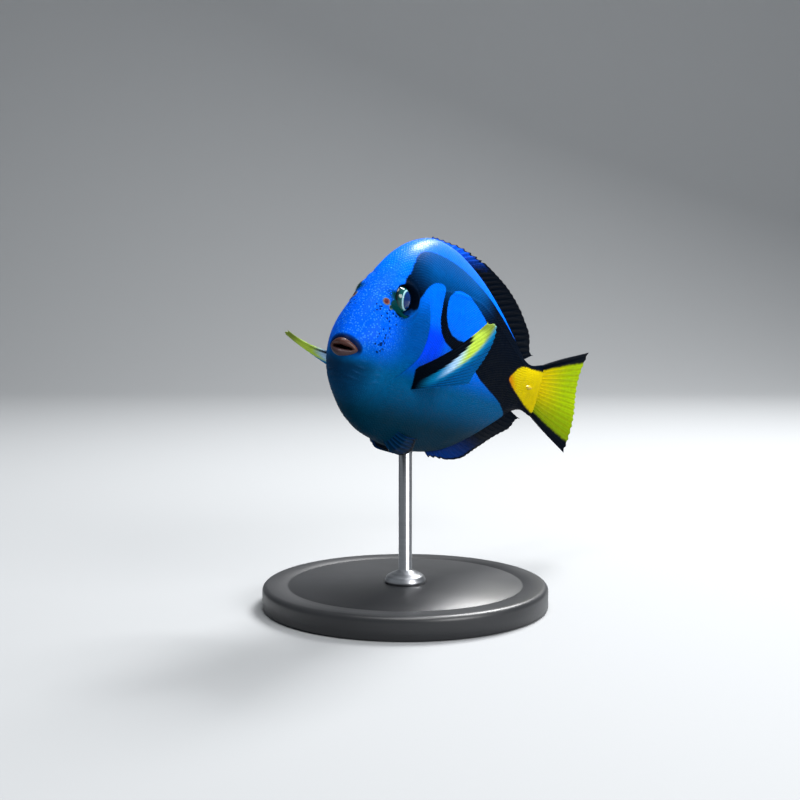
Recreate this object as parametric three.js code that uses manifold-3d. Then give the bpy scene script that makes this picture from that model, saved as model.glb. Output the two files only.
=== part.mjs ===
// A regal blue tang, Paracanthurus hepatus, as a life-size still model on a small display stand.
// Millimetres, +Z up. The origin is the centre of the underside of the stand's base.
//
// The fish is first made straight, in its own frame: x runs from the snout to the tail, y to the
// right flank and z up from the level of the mouth. There it is parted into head, trunk and tail
// stock and its fins are rooted on it. Every part is then bent along the body as the swimming fish
// is, and the whole fish is pitched and banked on its rod.

import * as THREE from "three";
import { mergeVertices } from "three/addons/utils/BufferGeometryUtils.js";
import Module from "manifold-3d";

const wasm = await Module();
wasm.setup();

// Driving dimensions
const STANDARD_LENGTH = 165; // snout to the end of the tail stock
const TOTAL_LENGTH = 1.21 * STANDARD_LENGTH; // snout to the corners of the tail fin
const GAP = 0.3; // kept between parts that touch
const SMALLEST = 1e-6;

// The body, in shares of the standard length: place, back, belly, half width, squareness.
const BODY_TABLE = [
  [0.0, 0.0225, -0.0235, 0.037, 2.0],
  [0.032, 0.083, -0.071, 0.0585, 2.05],
  [0.085, 0.158, -0.123, 0.063, 2.2],
  [0.16, 0.24, -0.159, 0.07, 2.25],
  [0.255, 0.289, -0.179, 0.076, 2.1],
  [0.37, 0.298, -0.19, 0.081, 2.1],
  [0.475, 0.284, -0.187, 0.08, 2.0],
  [0.59, 0.253, -0.171, 0.073, 2.0],
  [0.705, 0.208, -0.13, 0.059, 2.0],
  [0.815, 0.153, -0.075, 0.043, 2.0],
  [0.89, 0.113, -0.034, 0.03, 2.1],
  [0.945, 0.102, -0.021, 0.021, 2.2],
  [1.0, 0.112, -0.03, 0.011, 2.2],
];
const WIDEST_LEVEL = 0.54; // share of the depth, from the belly, where the body is widest
const BODY_RINGS = 30;
const RING_POINTS = 36;
const TAIL_CAP = 0.008 * STANDARD_LENGTH;

// The mouth, from the fold behind the lips round their crest and into the throat.
const MOUTH_HALF_WIDTH = 0.031 * STANDARD_LENGTH;
const MOUTH_HALF_HEIGHT = 0.0172 * STANDARD_LENGTH;
const MOUTH_SQUARENESS = 1.6;
const MOUTH_LEVEL = 0;
const MOUTH_CORNER_BACK = 0.017 * STANDARD_LENGTH;
const CORNER_FADE = 0.1 * STANDARD_LENGTH;
const THROAT_END = 0.75 * MOUTH_HALF_WIDTH;
// Place, width and height, in shares of the mouth's half width, half width and half height.
const LIP_TABLE = [
  [0.45, 0.5, 0.24],
  [0.02, 0.64, 0.22],
  [-0.25, 0.73, 0.34],
  [-0.35, 0.86, 0.66],
  [-0.27, 0.98, 0.96],
  [-0.12, 1.04, 1.12],
  [0.02, 0.99, 1.05],
];

// The rear edge of the gill cover: level and place, in shares of the standard length.
const GILL_EDGE_TABLE = [
  [-0.3, 0.03],
  [-0.16, 0.08],
  [-0.085, 0.106],
  [-0.037, 0.14],
  [-0.008, 0.18],
  [0.022, 0.215],
  [0.064, 0.23],
  [0.117, 0.224],
  [0.17, 0.206],
  [0.235, 0.185],
  [0.4, 0.16],
];
const GILL_EDGE_STEPS = 22;
const GILL_COVER_LIFT = 0.9;
const GILL_COVER_FADE = 0.06 * STANDARD_LENGTH;
const TAIL_STOCK_START = 0.84 * STANDARD_LENGTH;

// Eyes and nostrils
const EYE_PLACE = [0.1245 * STANDARD_LENGTH, 0.1335 * STANDARD_LENGTH];
const EYE_RADIUS = 0.0303 * STANDARD_LENGTH;
const EYE_DEPTH = 0.025 * STANDARD_LENGTH;
const EYE_PROUD = 0.0065 * STANDARD_LENGTH;
const EYE_AXIS = [0.1, 1, 0.12]; // of the right eye: it looks sideways, not along the flank's normal
const SOCKET_WALL = 0.8; // round the ball, with the gap inside it
const SOCKET_REACH = 0.12 * EYE_DEPTH; // from the middle of the ball along its axis
const NOSTRILS = [
  { place: [0.0705, 0.118], rim: 1.2, pit: 0.95 },
  { place: [0.0775, 0.1075], rim: 0.75, pit: 0.55 },
];
const NOSTRIL_RIM = 0.36;

// The swimming bend: an arc to the fish's left from just behind the head to the tail's end.
const BEND_START = 0.33 * STANDARD_LENGTH;
const BEND_ANGLE = THREE.MathUtils.degToRad(16);
const BEND_RADIUS = (TOTAL_LENGTH - BEND_START) / BEND_ANGLE;

// The pose on the stand
const NOSE_UP = THREE.MathUtils.degToRad(11);
const BANK = THREE.MathUtils.degToRad(11);
const BASE_RADIUS = 56;
const BASE_HEIGHT = 9;
const BASE_EDGE = 2.2;
const ROD_RADIUS = 2.6;
const ROD_FOOT_RADIUS = 8;
const ROD_FOOT_HEIGHT = 5;
const ROD_SHOWN = 52;
const ROD_SUNK = 9;
const ROD_SIDES = 20;
const ROD_PLACE = 0.43 * STANDARD_LENGTH;

const share = (value) => value * STANDARD_LENGTH;
const mix = (a, b, t) => a + (b - a) * t;
const smooth = (t) => {
  const s = THREE.MathUtils.clamp(t, 0, 1);
  return s * s * (3 - 2 * s);
};

// Returns a smooth function through a table's column, keyed by its first column.
function tableCurve(rows, column) {
  const keys = rows.map((row) => row[0]);
  const values = rows.map((row) => row[column]);
  const secant = (i) => (values[i + 1] - values[i]) / (keys[i + 1] - keys[i]);
  const last = keys.length - 1;
  const slopes = keys.map((_, i) => {
    if (i === 0) return secant(0);
    if (i === last) return secant(last - 1);
    const before = keys[i] - keys[i - 1];
    const after = keys[i + 1] - keys[i];
    return (secant(i - 1) * after + secant(i) * before) / (before + after);
  });
  return (key) => {
    const k = THREE.MathUtils.clamp(key, keys[0], keys[last]);
    const i = Math.min(last - 1, Math.max(0, keys.findIndex((next) => next > k) - 1));
    const cell = k === keys[last] ? last - 1 : i;
    const width = keys[cell + 1] - keys[cell];
    const t = (k - keys[cell]) / width;
    const [t2, t3] = [t * t, t * t * t];
    return (
      (2 * t3 - 3 * t2 + 1) * values[cell] +
      (t3 - 2 * t2 + t) * width * slopes[cell] +
      (3 * t2 - 2 * t3) * values[cell + 1] +
      (t3 - t2) * width * slopes[cell + 1]
    );
  };
}

const [backCurve, bellyCurve, halfWidthCurve, squareCurve] = [1, 2, 3, 4].map((column) =>
  tableCurve(BODY_TABLE, column),
);
const gillEdgeCurve = tableCurve(GILL_EDGE_TABLE, 1);
const backAt = (x) => share(backCurve(x / STANDARD_LENGTH));
const bellyAt = (x) => share(bellyCurve(x / STANDARD_LENGTH));
const gillEdgeAt = (z) => share(gillEdgeCurve(z / STANDARD_LENGTH));

// The body's section at one place along it.
function sectionAt(x) {
  const back = backAt(x);
  const belly = bellyAt(x);
  return {
    x,
    back,
    belly,
    middle: mix(belly, back, WIDEST_LEVEL),
    halfWidth: share(halfWidthCurve(x / STANDARD_LENGTH)),
    square: squareCurve(x / STANDARD_LENGTH),
    cornerBack: MOUTH_CORNER_BACK * (1 - smooth(x / CORNER_FADE)),
  };
}

function lipSection([place, width, height]) {
  return {
    x: place * MOUTH_HALF_WIDTH,
    back: MOUTH_LEVEL + height * MOUTH_HALF_HEIGHT,
    belly: MOUTH_LEVEL - height * MOUTH_HALF_HEIGHT,
    middle: MOUTH_LEVEL,
    halfWidth: width * MOUTH_HALF_WIDTH,
    square: MOUTH_SQUARENESS,
    cornerBack: MOUTH_CORNER_BACK,
  };
}

// The point of a section at an angle from the back, with the section grown on all sides.
function sectionPoint(section, angle, grown, lift) {
  const side = Math.sin(angle);
  const rise = Math.cos(angle);
  const power = 2 / section.square;
  const reach = rise > 0 ? section.back - section.middle : section.middle - section.belly;
  const z = section.middle + (reach + grown) * Math.sign(rise) * Math.abs(rise) ** power;
  const x = section.x + section.cornerBack * side * side;
  const width = section.halfWidth + grown + lift * gillCoverLift(x, z);
  return new THREE.Vector3(x, width * Math.sign(side) * Math.abs(side) ** power, z);
}

// How far the gill cover stands proud of the body, highest at its rear edge.
function gillCoverLift(x, z) {
  const ahead = (gillEdgeAt(z) - x) / GILL_COVER_FADE;
  const window = smooth((z / STANDARD_LENGTH + 0.12) / 0.08) * smooth((0.19 - z / STANDARD_LENGTH) / 0.1);
  return GILL_COVER_LIFT * window * Math.exp(-ahead * ahead);
}

// The skin's distance from the middle plane at a place and level.
function flankAt(x, z) {
  const section = sectionAt(x);
  const reach = z > section.middle ? section.back - section.middle : section.middle - section.belly;
  const level = Math.min(1, Math.abs(z - section.middle) / reach);
  return section.halfWidth * (1 - level ** section.square) ** (1 / section.square);
}

// The outward direction of the skin on one flank (side is 1 on the right, -1 on the left).
function flankNormal(x, z, side) {
  const step = 1;
  const alongX = (flankAt(x + step, z) - flankAt(x - step, z)) / (2 * step);
  const alongZ = (flankAt(x, z + step) - flankAt(x, z - step)) / (2 * step);
  return new THREE.Vector3(-alongX, side, -alongZ).normalize();
}

// Joins closed rings of points, from one end point to the other, into a closed surface.
function loftGeometry(rings, firstEnd, lastEnd) {
  const count = rings[0].length;
  const points = [firstEnd, ...rings.flat(), lastEnd];
  const at = (ring, i) => 1 + ring * count + (i % count);
  const index = [];
  for (let i = 0; i < count; i++) {
    index.push(0, at(0, i), at(0, i + 1));
    for (let ring = 0; ring < rings.length - 1; ring++) {
      index.push(at(ring, i), at(ring + 1, i), at(ring, i + 1));
      index.push(at(ring, i + 1), at(ring + 1, i), at(ring + 1, i + 1));
    }
    index.push(at(rings.length - 1, i), points.length - 1, at(rings.length - 1, i + 1));
  }
  return new THREE.BufferGeometry().setFromPoints(points).setIndex(index);
}

// The whole body without fins or eyes.
function bodyGeometry(grown = 0, lift = 0) {
  const sections = LIP_TABLE.map(lipSection);
  for (let i = 1; i <= BODY_RINGS; i++) {
    sections.push(sectionAt(STANDARD_LENGTH * (i / BODY_RINGS) ** 1.5));
  }
  const rings = sections.map((section) =>
    Array.from({ length: RING_POINTS }, (_, i) =>
      sectionPoint(section, (i / RING_POINTS) * 2 * Math.PI, grown, lift),
    ),
  );
  const tail = sections.at(-1);
  return loftGeometry(
    rings,
    new THREE.Vector3(THROAT_END, 0, MOUTH_LEVEL),
    new THREE.Vector3(tail.x + TAIL_CAP + grown, 0, tail.middle),
  );
}

// A plate with a face on each side of its middle surface, both split into triangles alike.
// middle[column][row] are its points, thickness[column][row] its full thickness there.
function plateGeometry(middle, thickness) {
  const columns = middle.length;
  const rows = middle[0].length;
  const face = (sign) =>
    middle.map((column, i) =>
      column.map((point, j) => {
        const across = middle[Math.min(i + 1, columns - 1)][j].clone();
        across.sub(middle[Math.max(i - 1, 0)][j]);
        const along = column[Math.min(j + 1, rows - 1)].clone().sub(column[Math.max(j - 1, 0)]);
        const normal = across.cross(along).normalize();
        return point.clone().addScaledVector(normal, (sign * thickness[i][j]) / 2);
      }),
    );
  const points = [...face(1).flat(), ...face(-1).flat()];
  const front = (i, j) => i * rows + j;
  const back = (i, j) => columns * rows + front(i, j);
  const index = [];
  const quad = (a, b, c, d) => index.push(a, b, c, a, c, d);
  for (let i = 0; i < columns - 1; i++) {
    for (let j = 0; j < rows - 1; j++) {
      index.push(front(i, j), front(i + 1, j), front(i + 1, j + 1));
      index.push(front(i, j), front(i + 1, j + 1), front(i, j + 1));
      index.push(back(i, j), back(i + 1, j + 1), back(i + 1, j));
      index.push(back(i, j), back(i, j + 1), back(i + 1, j + 1));
    }
    quad(front(i, 0), back(i, 0), back(i + 1, 0), front(i + 1, 0));
    quad(front(i, rows - 1), front(i + 1, rows - 1), back(i + 1, rows - 1), back(i, rows - 1));
  }
  for (let j = 0; j < rows - 1; j++) {
    quad(front(0, j), front(0, j + 1), back(0, j + 1), back(0, j));
    const end = columns - 1;
    quad(front(end, j), back(end, j), back(end, j + 1), front(end, j + 1));
  }
  return new THREE.BufferGeometry().setFromPoints(points).setIndex(index);
}

const MEMBRANE = 0.62;
const MEMBRANE_EDGE = 0.5;

// A fin: rays raised as ridges on a membrane, with one column on each ray and one between.
// ray(u, v) gives the middle surface, u from the first ray to the last and v from the root out.
function finGeometry({ rays, rows, ray, rayRoot, rayTip, notch = 0.02, spines = 0 }) {
  const columns = 2 * rays - 1;
  const middle = [];
  const thickness = [];
  for (let i = 0; i < columns; i++) {
    const isRay = i % 2 === 0;
    const u = i / (columns - 1);
    const cut = isRay ? 0 : i / 2 < spines ? 0.09 : notch;
    middle.push([]);
    thickness.push([]);
    for (let j = 0; j <= rows; j++) {
      const v = j / rows;
      middle[i].push(ray(u, v * (1 - cut)));
      thickness[i].push(isRay ? mix(rayRoot, rayTip, v) : mix(MEMBRANE, MEMBRANE_EDGE, v));
    }
  }
  return plateGeometry(middle, thickness);
}

// A fin along the back (side 1) or the belly (side -1), its rays laid back towards the tail.
function medianFin({ side, from, to, rays, length, raised, sway, spines }) {
  const edge = side > 0 ? backAt : bellyAt;
  const sunk = 2.2;
  return finGeometry({
    rays,
    rows: 5,
    rayRoot: 1.7,
    rayTip: 0.7,
    spines,
    ray: (u, v) => {
      const x = mix(from, to, u);
      const step = 2;
      const tangent = new THREE.Vector3(2 * step, 0, edge(x + step) - edge(x - step)).normalize();
      const normal = new THREE.Vector3(-tangent.z, 0, tangent.x).multiplyScalar(side);
      const angle = raised(u) * (1 - 0.16 * v);
      const out = share(length(u)) * v;
      return new THREE.Vector3(x, 0, edge(x))
        .addScaledVector(normal, -sunk * (1 - v) + out * Math.sin(angle))
        .addScaledVector(tangent, out * Math.cos(angle))
        .add(new THREE.Vector3(0, sway * v * v * Math.sin(2.2 * Math.PI * u + 0.6), 0));
    },
  });
}

const DORSAL_FROM = share(0.278);
const DORSAL_TO = share(0.885);
const ANAL_FROM = share(0.515);
const ANAL_TO = share(0.885);

const dorsalFin = () =>
  medianFin({
    side: 1,
    from: DORSAL_FROM,
    to: DORSAL_TO,
    rays: 28,
    spines: 9,
    length: (u) => mix(0.018, 0.115, smooth(u / 0.3)) * (1 - 0.4 * smooth((u - 0.8) / 0.2)),
    raised: (u) => THREE.MathUtils.degToRad(mix(14, 40, smooth(u / 0.75))),
    sway: 1.2,
  });

const analFin = () =>
  medianFin({
    side: -1,
    from: ANAL_FROM,
    to: ANAL_TO,
    rays: 21,
    spines: 3,
    length: (u) => mix(0.035, 0.105, smooth(u / 0.3)) * (1 - 0.4 * smooth((u - 0.78) / 0.22)),
    raised: (u) => THREE.MathUtils.degToRad(mix(28, 36, u)),
    sway: -1,
  });

// The tail fin: a fan with a nearly straight rear edge and drawn-out corners.
const CAUDAL_ROOT = share(0.982);
const CAUDAL_LEVEL = share(0.042);
const CAUDAL_ROOT_HALF = share(0.059);
const CAUDAL_TIP_HALF = share(0.146);
const CAUDAL_HOLLOW = share(0.004);

function caudalFin() {
  return finGeometry({
    rays: 17,
    rows: 6,
    rayRoot: 2.3,
    rayTip: 0.7,
    ray: (u, v) => {
      const across = 1 - 2 * u;
      const spread = Math.abs(across);
      const tip = TOTAL_LENGTH - CAUDAL_HOLLOW * (1 - spread ** 2.2);
      const flare = Math.sign(across) * spread ** 1.1;
      return new THREE.Vector3(
        mix(CAUDAL_ROOT, tip, v),
        1.5 * v * v * Math.sin(3 * across),
        CAUDAL_LEVEL + mix(CAUDAL_ROOT_HALF * across, CAUDAL_TIP_HALF * flare, v ** 0.92),
      );
    },
  });
}

// A paired fin: a fan of rays from a short root on one flank.
// curl is how its rays sag at half their length, in shares of that length.
function pairedFin({ side, rootTop, rootFoot, first, last, length, rays, rows, curl, sunk, rayRoot }) {
  return finGeometry({
    rays,
    rows,
    rayRoot,
    rayTip: 0.6,
    notch: 0.015,
    ray: (u, v) => {
      const x = mix(rootTop[0], rootFoot[0], u);
      const z = mix(rootTop[1], rootFoot[1], u);
      const root = new THREE.Vector3(x, side * flankAt(x, z), z);
      const direction = first.clone().lerp(last, u).normalize();
      return root
        .addScaledVector(direction, mix(-sunk, length(u), v))
        .addScaledVector(curl, 4 * length(u) * v * (v - 1));
    },
  });
}

const PECTORAL_TOP = [share(0.231), share(0.004)];
const PECTORAL_FOOT = [share(0.239), share(-0.045)];
const PECTORAL_LENGTH = share(0.225);
const pectoralLength = (u) =>
  PECTORAL_LENGTH * (0.9 + 0.1 * smooth(u / 0.12)) * (1 - 0.36 * smooth(u) - 0.06 * u);

// The left pectoral fin is at the top of its stroke, the right one level, as in the photograph.
const PECTORAL_FINS = [
  {
    name: "pectoral_fin_left",
    side: -1,
    first: new THREE.Vector3(0.6, -0.42, 0.69),
    last: new THREE.Vector3(0.5, -0.8, 0.33),
    curl: new THREE.Vector3(-0.03, 0.05, 0),
  },
  {
    name: "pectoral_fin_right",
    side: 1,
    first: new THREE.Vector3(0, 0.99, 0.05),
    last: new THREE.Vector3(0.66, 0.74, -0.06),
    curl: new THREE.Vector3(0, 0, 0.1),
  },
];

const PELVIC_ROOT = share(0.25);
const PELVIC_LENGTH = share(0.135);
const PELVIC_LEVELS = [share(0.034), share(0.006)]; // above the belly's edge
const PELVIC_SPREAD = share(0.012);
const PELVIC_SUNK = 1.6;
const PELVIC_PROUD = 2;

// A pelvic fin, folded back along the belly: it comes out of the skin and then follows it.
function pelvicFin(side) {
  return finGeometry({
    rays: 5,
    rows: 6,
    rayRoot: 1.5,
    rayTip: 0.7,
    spines: 0,
    ray: (u, v) => {
      const reach = PELVIC_LENGTH * mix(0.72, 1, smooth(u / 0.8)) * v;
      const x = PELVIC_ROOT + PELVIC_SPREAD * (1 - u) + reach;
      const z = bellyAt(x) + mix(...PELVIC_LEVELS, u) + 0.2 * PELVIC_LEVELS[0] * v * (1 - 2 * u);
      const out = mix(-PELVIC_SUNK, PELVIC_PROUD, smooth(v / 0.5));
      return new THREE.Vector3(x, side * flankAt(x, z), z).addScaledVector(
        flankNormal(x, z, side),
        out,
      );
    },
  });
}

// The blade on each side of the tail stock, folded forward against the skin.
const SCALPEL_PLACE = [share(0.925), share(0.042)];
const SCALPEL_LENGTH = share(0.048);
const SCALPEL_HEIGHT = 1.9;
const SCALPEL_PROUD = 1.3;

function scalpelGeometry(side) {
  const [x, z] = SCALPEL_PLACE;
  const steps = 7;
  const sides = 8;
  const rings = Array.from({ length: steps }, (_, i) => {
    const t = (i + 1) / (steps + 1);
    const size = Math.sin(Math.PI * t ** 1.5) ** 0.8;
    const px = x - SCALPEL_LENGTH * (t - 0.5);
    const lie = flankAt(px, z);
    return Array.from({ length: sides }, (_, k) => {
      const angle = (k / sides) * 2 * Math.PI * side;
      return new THREE.Vector3(
        px,
        side * (lie + size * SCALPEL_PROUD * Math.cos(angle)),
        z + 0.5 * size * SCALPEL_HEIGHT * Math.sin(angle),
      );
    });
  });
  const end = (sign) => {
    const px = x + (sign * SCALPEL_LENGTH) / 2;
    return new THREE.Vector3(px, side * (flankAt(px, z) + 0.2 * SCALPEL_PROUD), z);
  };
  return loftGeometry(rings, end(1), end(-1));
}

// Solids

function solidOf(geometry) {
  const bare = geometry.clone();
  bare.deleteAttribute("normal");
  bare.deleteAttribute("uv");
  const merged = mergeVertices(bare, SMALLEST);
  const solid = new wasm.Manifold(
    new wasm.Mesh({
      numProp: 3,
      vertProperties: new Float32Array(merged.attributes.position.array),
      triVerts: new Uint32Array(merged.index.array),
    }),
  );
  if (solid.volume() > 0) return solid;
  const flipped = new Uint32Array(merged.index.array).reverse();
  return new wasm.Manifold(
    new wasm.Mesh({
      numProp: 3,
      vertProperties: new Float32Array(merged.attributes.position.array),
      triVerts: flipped,
    }),
  );
}

// Keeps the largest closed body of a solid.
function largest(solid) {
  return solid.decompose().sort((a, b) => b.volume() - a.volume())[0];
}

function geometryOf(solid) {
  const mesh = solid.getMesh();
  const geometry = new THREE.BufferGeometry();
  const positions = new THREE.BufferAttribute(new Float32Array(mesh.vertProperties), mesh.numProp);
  geometry.setAttribute("position", positions);
  geometry.setIndex(new THREE.BufferAttribute(new Uint32Array(mesh.triVerts), 1));
  return geometry;
}

// A slab seen from the side: a closed outline of [x, z] points, as wide as the whole fish.
function sideSlab(outline) {
  const width = STANDARD_LENGTH;
  const shape = new THREE.Shape(outline.map(([x, z]) => new THREE.Vector2(x, z)));
  const geometry = new THREE.ExtrudeGeometry(shape, { depth: width, bevelEnabled: false });
  geometry.rotateX(Math.PI / 2).translate(0, width / 2, 0);
  return solidOf(geometry);
}

// Sets a shape made about the z axis on a centre, with its axis along a direction.
function setOn(geometry, centre, axis) {
  const turn = new THREE.Quaternion().setFromUnitVectors(new THREE.Vector3(0, 0, 1), axis);
  return geometry.applyQuaternion(turn).translate(centre.x, centre.y, centre.z);
}

// A shape set on the flank, with its axis along the skin's outward direction.
function setOnFlank(geometry, [x, z], side) {
  const centre = new THREE.Vector3(x, side * flankAt(x, z), z);
  return setOn(geometry, centre, flankNormal(x, z, side));
}

// A flattened ball about the middle of an eye, with its axis along the direction of sight.
// reach is where its front is cut off flat, measured along the axis.
function eyeGeometry(side, grown = 0, reach = Infinity) {
  const [x, z] = EYE_PLACE;
  const axis = new THREE.Vector3(EYE_AXIS[0], side * EYE_AXIS[1], EYE_AXIS[2]).normalize();
  const centre = new THREE.Vector3(x, side * flankAt(x, z), z);
  centre.addScaledVector(axis, EYE_PROUD - EYE_DEPTH);
  const ball = new THREE.SphereGeometry(1, 22, 12);
  ball.rotateX(Math.PI / 2).scale(EYE_RADIUS + grown, EYE_RADIUS + grown, EYE_DEPTH + grown);
  const position = ball.attributes.position;
  for (let i = 0; i < position.count; i++) {
    position.setZ(i, Math.min(position.getZ(i), reach));
  }
  return setOn(ball, centre, axis);
}

const BEHIND = 2 * TOTAL_LENGTH;
const gillEdge = (shift) =>
  Array.from({ length: GILL_EDGE_STEPS + 1 }, (_, i) => {
    const z = share(mix(GILL_EDGE_TABLE[0][0], GILL_EDGE_TABLE.at(-1)[0], i / GILL_EDGE_STEPS));
    return [gillEdgeAt(z) + shift, z];
  });

function headSolid() {
  const edge = gillEdge(-GAP / 2);
  const region = sideSlab([[-TOTAL_LENGTH, edge[0][1]], ...edge, [-TOTAL_LENGTH, edge.at(-1)[1]]]);
  let head = solidOf(bodyGeometry(0, 1)).intersect(region);
  for (const side of [-1, 1]) {
    head = head.add(solidOf(eyeGeometry(side, SOCKET_WALL, SOCKET_REACH)));
    head = head.subtract(solidOf(eyeGeometry(side, GAP)));
    for (const { place, rim: radius, pit } of NOSTRILS) {
      const at = place.map(share);
      const ring = new THREE.TorusGeometry(radius, NOSTRIL_RIM, 6, 10);
      const hole = new THREE.SphereGeometry(pit, 8, 6);
      head = head.add(solidOf(setOnFlank(ring, at, side)));
      head = head.subtract(solidOf(setOnFlank(hole, at, side)));
    }
  }
  return largest(head);
}

function trunkSolid() {
  const edge = gillEdge(GAP / 2);
  const end = TAIL_STOCK_START - GAP / 2;
  const region = sideSlab([[end, edge[0][1]], [end, edge.at(-1)[1]], ...edge.reverse()]);
  return largest(solidOf(bodyGeometry()).intersect(region));
}

function tailStockSolid() {
  const start = TAIL_STOCK_START + GAP / 2;
  const high = share(0.4);
  const region = sideSlab([[start, -high], [BEHIND, -high], [BEHIND, high], [start, high]]);
  return largest(solidOf(bodyGeometry()).intersect(region));
}

const grownBody = solidOf(bodyGeometry(GAP, 1));
const rooted = (geometry) => largest(solidOf(geometry).subtract(grownBody));

// Bends a straight part along the fish's body.
function bend(geometry) {
  const position = geometry.attributes.position;
  for (let i = 0; i < position.count; i++) {
    const turn = (position.getX(i) - BEND_START) / BEND_RADIUS;
    if (turn <= 0) continue;
    const reach = BEND_RADIUS + position.getY(i);
    position.setX(i, BEND_START + reach * Math.sin(turn));
    position.setY(i, reach * Math.cos(turn) - BEND_RADIUS);
  }
  return geometry;
}

// Colours
const finish = (color, roughness, metalness = 0) =>
  new THREE.MeshStandardMaterial({ color, roughness, metalness });
const royalBlue = finish(0x1560e0, 0.42);
const finBlue = finish(0x1450b8, 0.5);
const tailYellow = finish(0xf2d21a, 0.5);
const eyeDark = finish(0x0a1420, 0.12);
const baseBlack = finish(0x1c1d1f, 0.45);
const rodSteel = finish(0xb9bcc0, 0.3, 1);

const named = (name, geometry, material) => {
  const mesh = new THREE.Mesh(geometry, material);
  mesh.name = name;
  return mesh;
};
const bent = (name, solid, material) => named(name, bend(geometryOf(solid)), material);

// The fish
const fish = new THREE.Group();
fish.add(
  bent("head", headSolid(), royalBlue),
  bent("trunk", trunkSolid(), royalBlue),
  bent("tail_stock", tailStockSolid(), tailYellow),
  bent("dorsal_fin", rooted(dorsalFin()), finBlue),
  bent("anal_fin", rooted(analFin()), finBlue),
  bent("caudal_fin", rooted(caudalFin()), tailYellow),
);
for (const { name, ...fin } of PECTORAL_FINS) {
  const blade = pairedFin({
    ...fin,
    rootTop: PECTORAL_TOP,
    rootFoot: PECTORAL_FOOT,
    length: pectoralLength,
    rays: 15,
    rows: 6,
    sunk: 3,
    rayRoot: 1.7,
  });
  fish.add(bent(name, rooted(blade), finBlue));
}
for (const [label, side] of [["left", -1], ["right", 1]]) {
  fish.add(
    bent(`pelvic_fin_${label}`, rooted(pelvicFin(side)), finBlue),
    bent(`eye_${label}`, solidOf(eyeGeometry(side)), eyeDark),
    bent(`caudal_spine_${label}`, rooted(scalpelGeometry(side)), tailYellow),
  );
}

// The pose: nose up, banked to the left, with the belly over the rod
const rodTop = new THREE.BufferGeometry().setFromPoints([
  new THREE.Vector3(ROD_PLACE, 0, bellyAt(ROD_PLACE)),
]);
bend(rodTop);
const turned = new THREE.Quaternion().setFromEuler(new THREE.Euler(BANK, NOSE_UP, 0, "ZYX"));
const perch = new THREE.Vector3().fromBufferAttribute(rodTop.attributes.position, 0);
perch.applyQuaternion(turned);
fish.quaternion.copy(turned);
fish.position.set(-perch.x, -perch.y, BASE_HEIGHT + ROD_SHOWN - perch.z);
fish.updateMatrix();

// The stand
function baseGeometry() {
  const low = BASE_EDGE * 0.4;
  const profile = [
    new THREE.Vector2(0, 0),
    new THREE.Vector2(BASE_RADIUS - low, 0),
    new THREE.Vector2(BASE_RADIUS, low),
  ];
  for (let i = 0; i <= 3; i++) {
    const angle = (i / 3) * (Math.PI / 2);
    profile.push(
      new THREE.Vector2(
        BASE_RADIUS - BASE_EDGE * (1 - Math.cos(angle)),
        BASE_HEIGHT - BASE_EDGE * (1 - Math.sin(angle)),
      ),
    );
  }
  profile.push(new THREE.Vector2(0, BASE_HEIGHT));
  return new THREE.LatheGeometry(profile, 56).rotateX(Math.PI / 2);
}

function rodSolid() {
  const foot = BASE_HEIGHT + GAP;
  const profile = [
    new THREE.Vector2(0, foot),
    new THREE.Vector2(ROD_FOOT_RADIUS, foot),
    new THREE.Vector2(ROD_FOOT_RADIUS, foot + 1.2),
    new THREE.Vector2(ROD_RADIUS + 1.6, foot + ROD_FOOT_HEIGHT * 0.45),
    new THREE.Vector2(ROD_RADIUS, foot + ROD_FOOT_HEIGHT),
    new THREE.Vector2(ROD_RADIUS, BASE_HEIGHT + ROD_SHOWN + ROD_SUNK),
    new THREE.Vector2(0, BASE_HEIGHT + ROD_SHOWN + ROD_SUNK),
  ];
  const rod = new THREE.LatheGeometry(profile, ROD_SIDES).rotateX(Math.PI / 2);
  const belly = bend(bodyGeometry(GAP)).applyMatrix4(fish.matrix);
  return largest(solidOf(rod).subtract(solidOf(belly)));
}

const stand = new THREE.Group();
stand.add(
  named("stand_base", geometryOf(solidOf(baseGeometry())), baseBlack),
  named("stand_rod", geometryOf(rodSolid()), rodSteel),
);

const model = new THREE.Group();
model.add(fish, stand);

export default model;
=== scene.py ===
# %% [markdown]
# # A regal blue tang on a display stand
# This lesson dresses the solids of a life-size fish model. The solids hold the true shape and are
# the frame. Here they get a fine skin with scales, fins with branched rays, glassy eyes, a stand with
# real finishes, a pale floor, soft light and a camera.
#
# The fish is thought of twice. Straight, it lies along x from snout to tail, with y to its right
# and z up, in millimetres, and every marking is easy to state there. Then it is bent and posed, and
# only that last shape is written into the meshes, in metres.

import math

import bpy
import numpy as np
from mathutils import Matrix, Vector


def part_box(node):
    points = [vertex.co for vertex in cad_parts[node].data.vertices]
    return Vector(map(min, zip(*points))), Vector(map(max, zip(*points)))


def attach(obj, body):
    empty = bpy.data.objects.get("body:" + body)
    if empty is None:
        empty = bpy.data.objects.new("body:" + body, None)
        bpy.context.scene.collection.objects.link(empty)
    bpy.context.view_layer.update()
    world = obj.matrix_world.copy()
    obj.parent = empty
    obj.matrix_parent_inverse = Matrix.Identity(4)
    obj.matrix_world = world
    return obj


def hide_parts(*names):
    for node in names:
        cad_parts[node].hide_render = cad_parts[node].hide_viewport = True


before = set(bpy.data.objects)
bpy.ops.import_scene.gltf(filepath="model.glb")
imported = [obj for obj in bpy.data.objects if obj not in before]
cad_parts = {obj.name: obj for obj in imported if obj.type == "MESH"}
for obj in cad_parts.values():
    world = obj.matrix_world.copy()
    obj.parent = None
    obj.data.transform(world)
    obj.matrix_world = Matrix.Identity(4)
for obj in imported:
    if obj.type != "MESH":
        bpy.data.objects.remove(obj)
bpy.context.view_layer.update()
scene = bpy.context.scene

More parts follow.
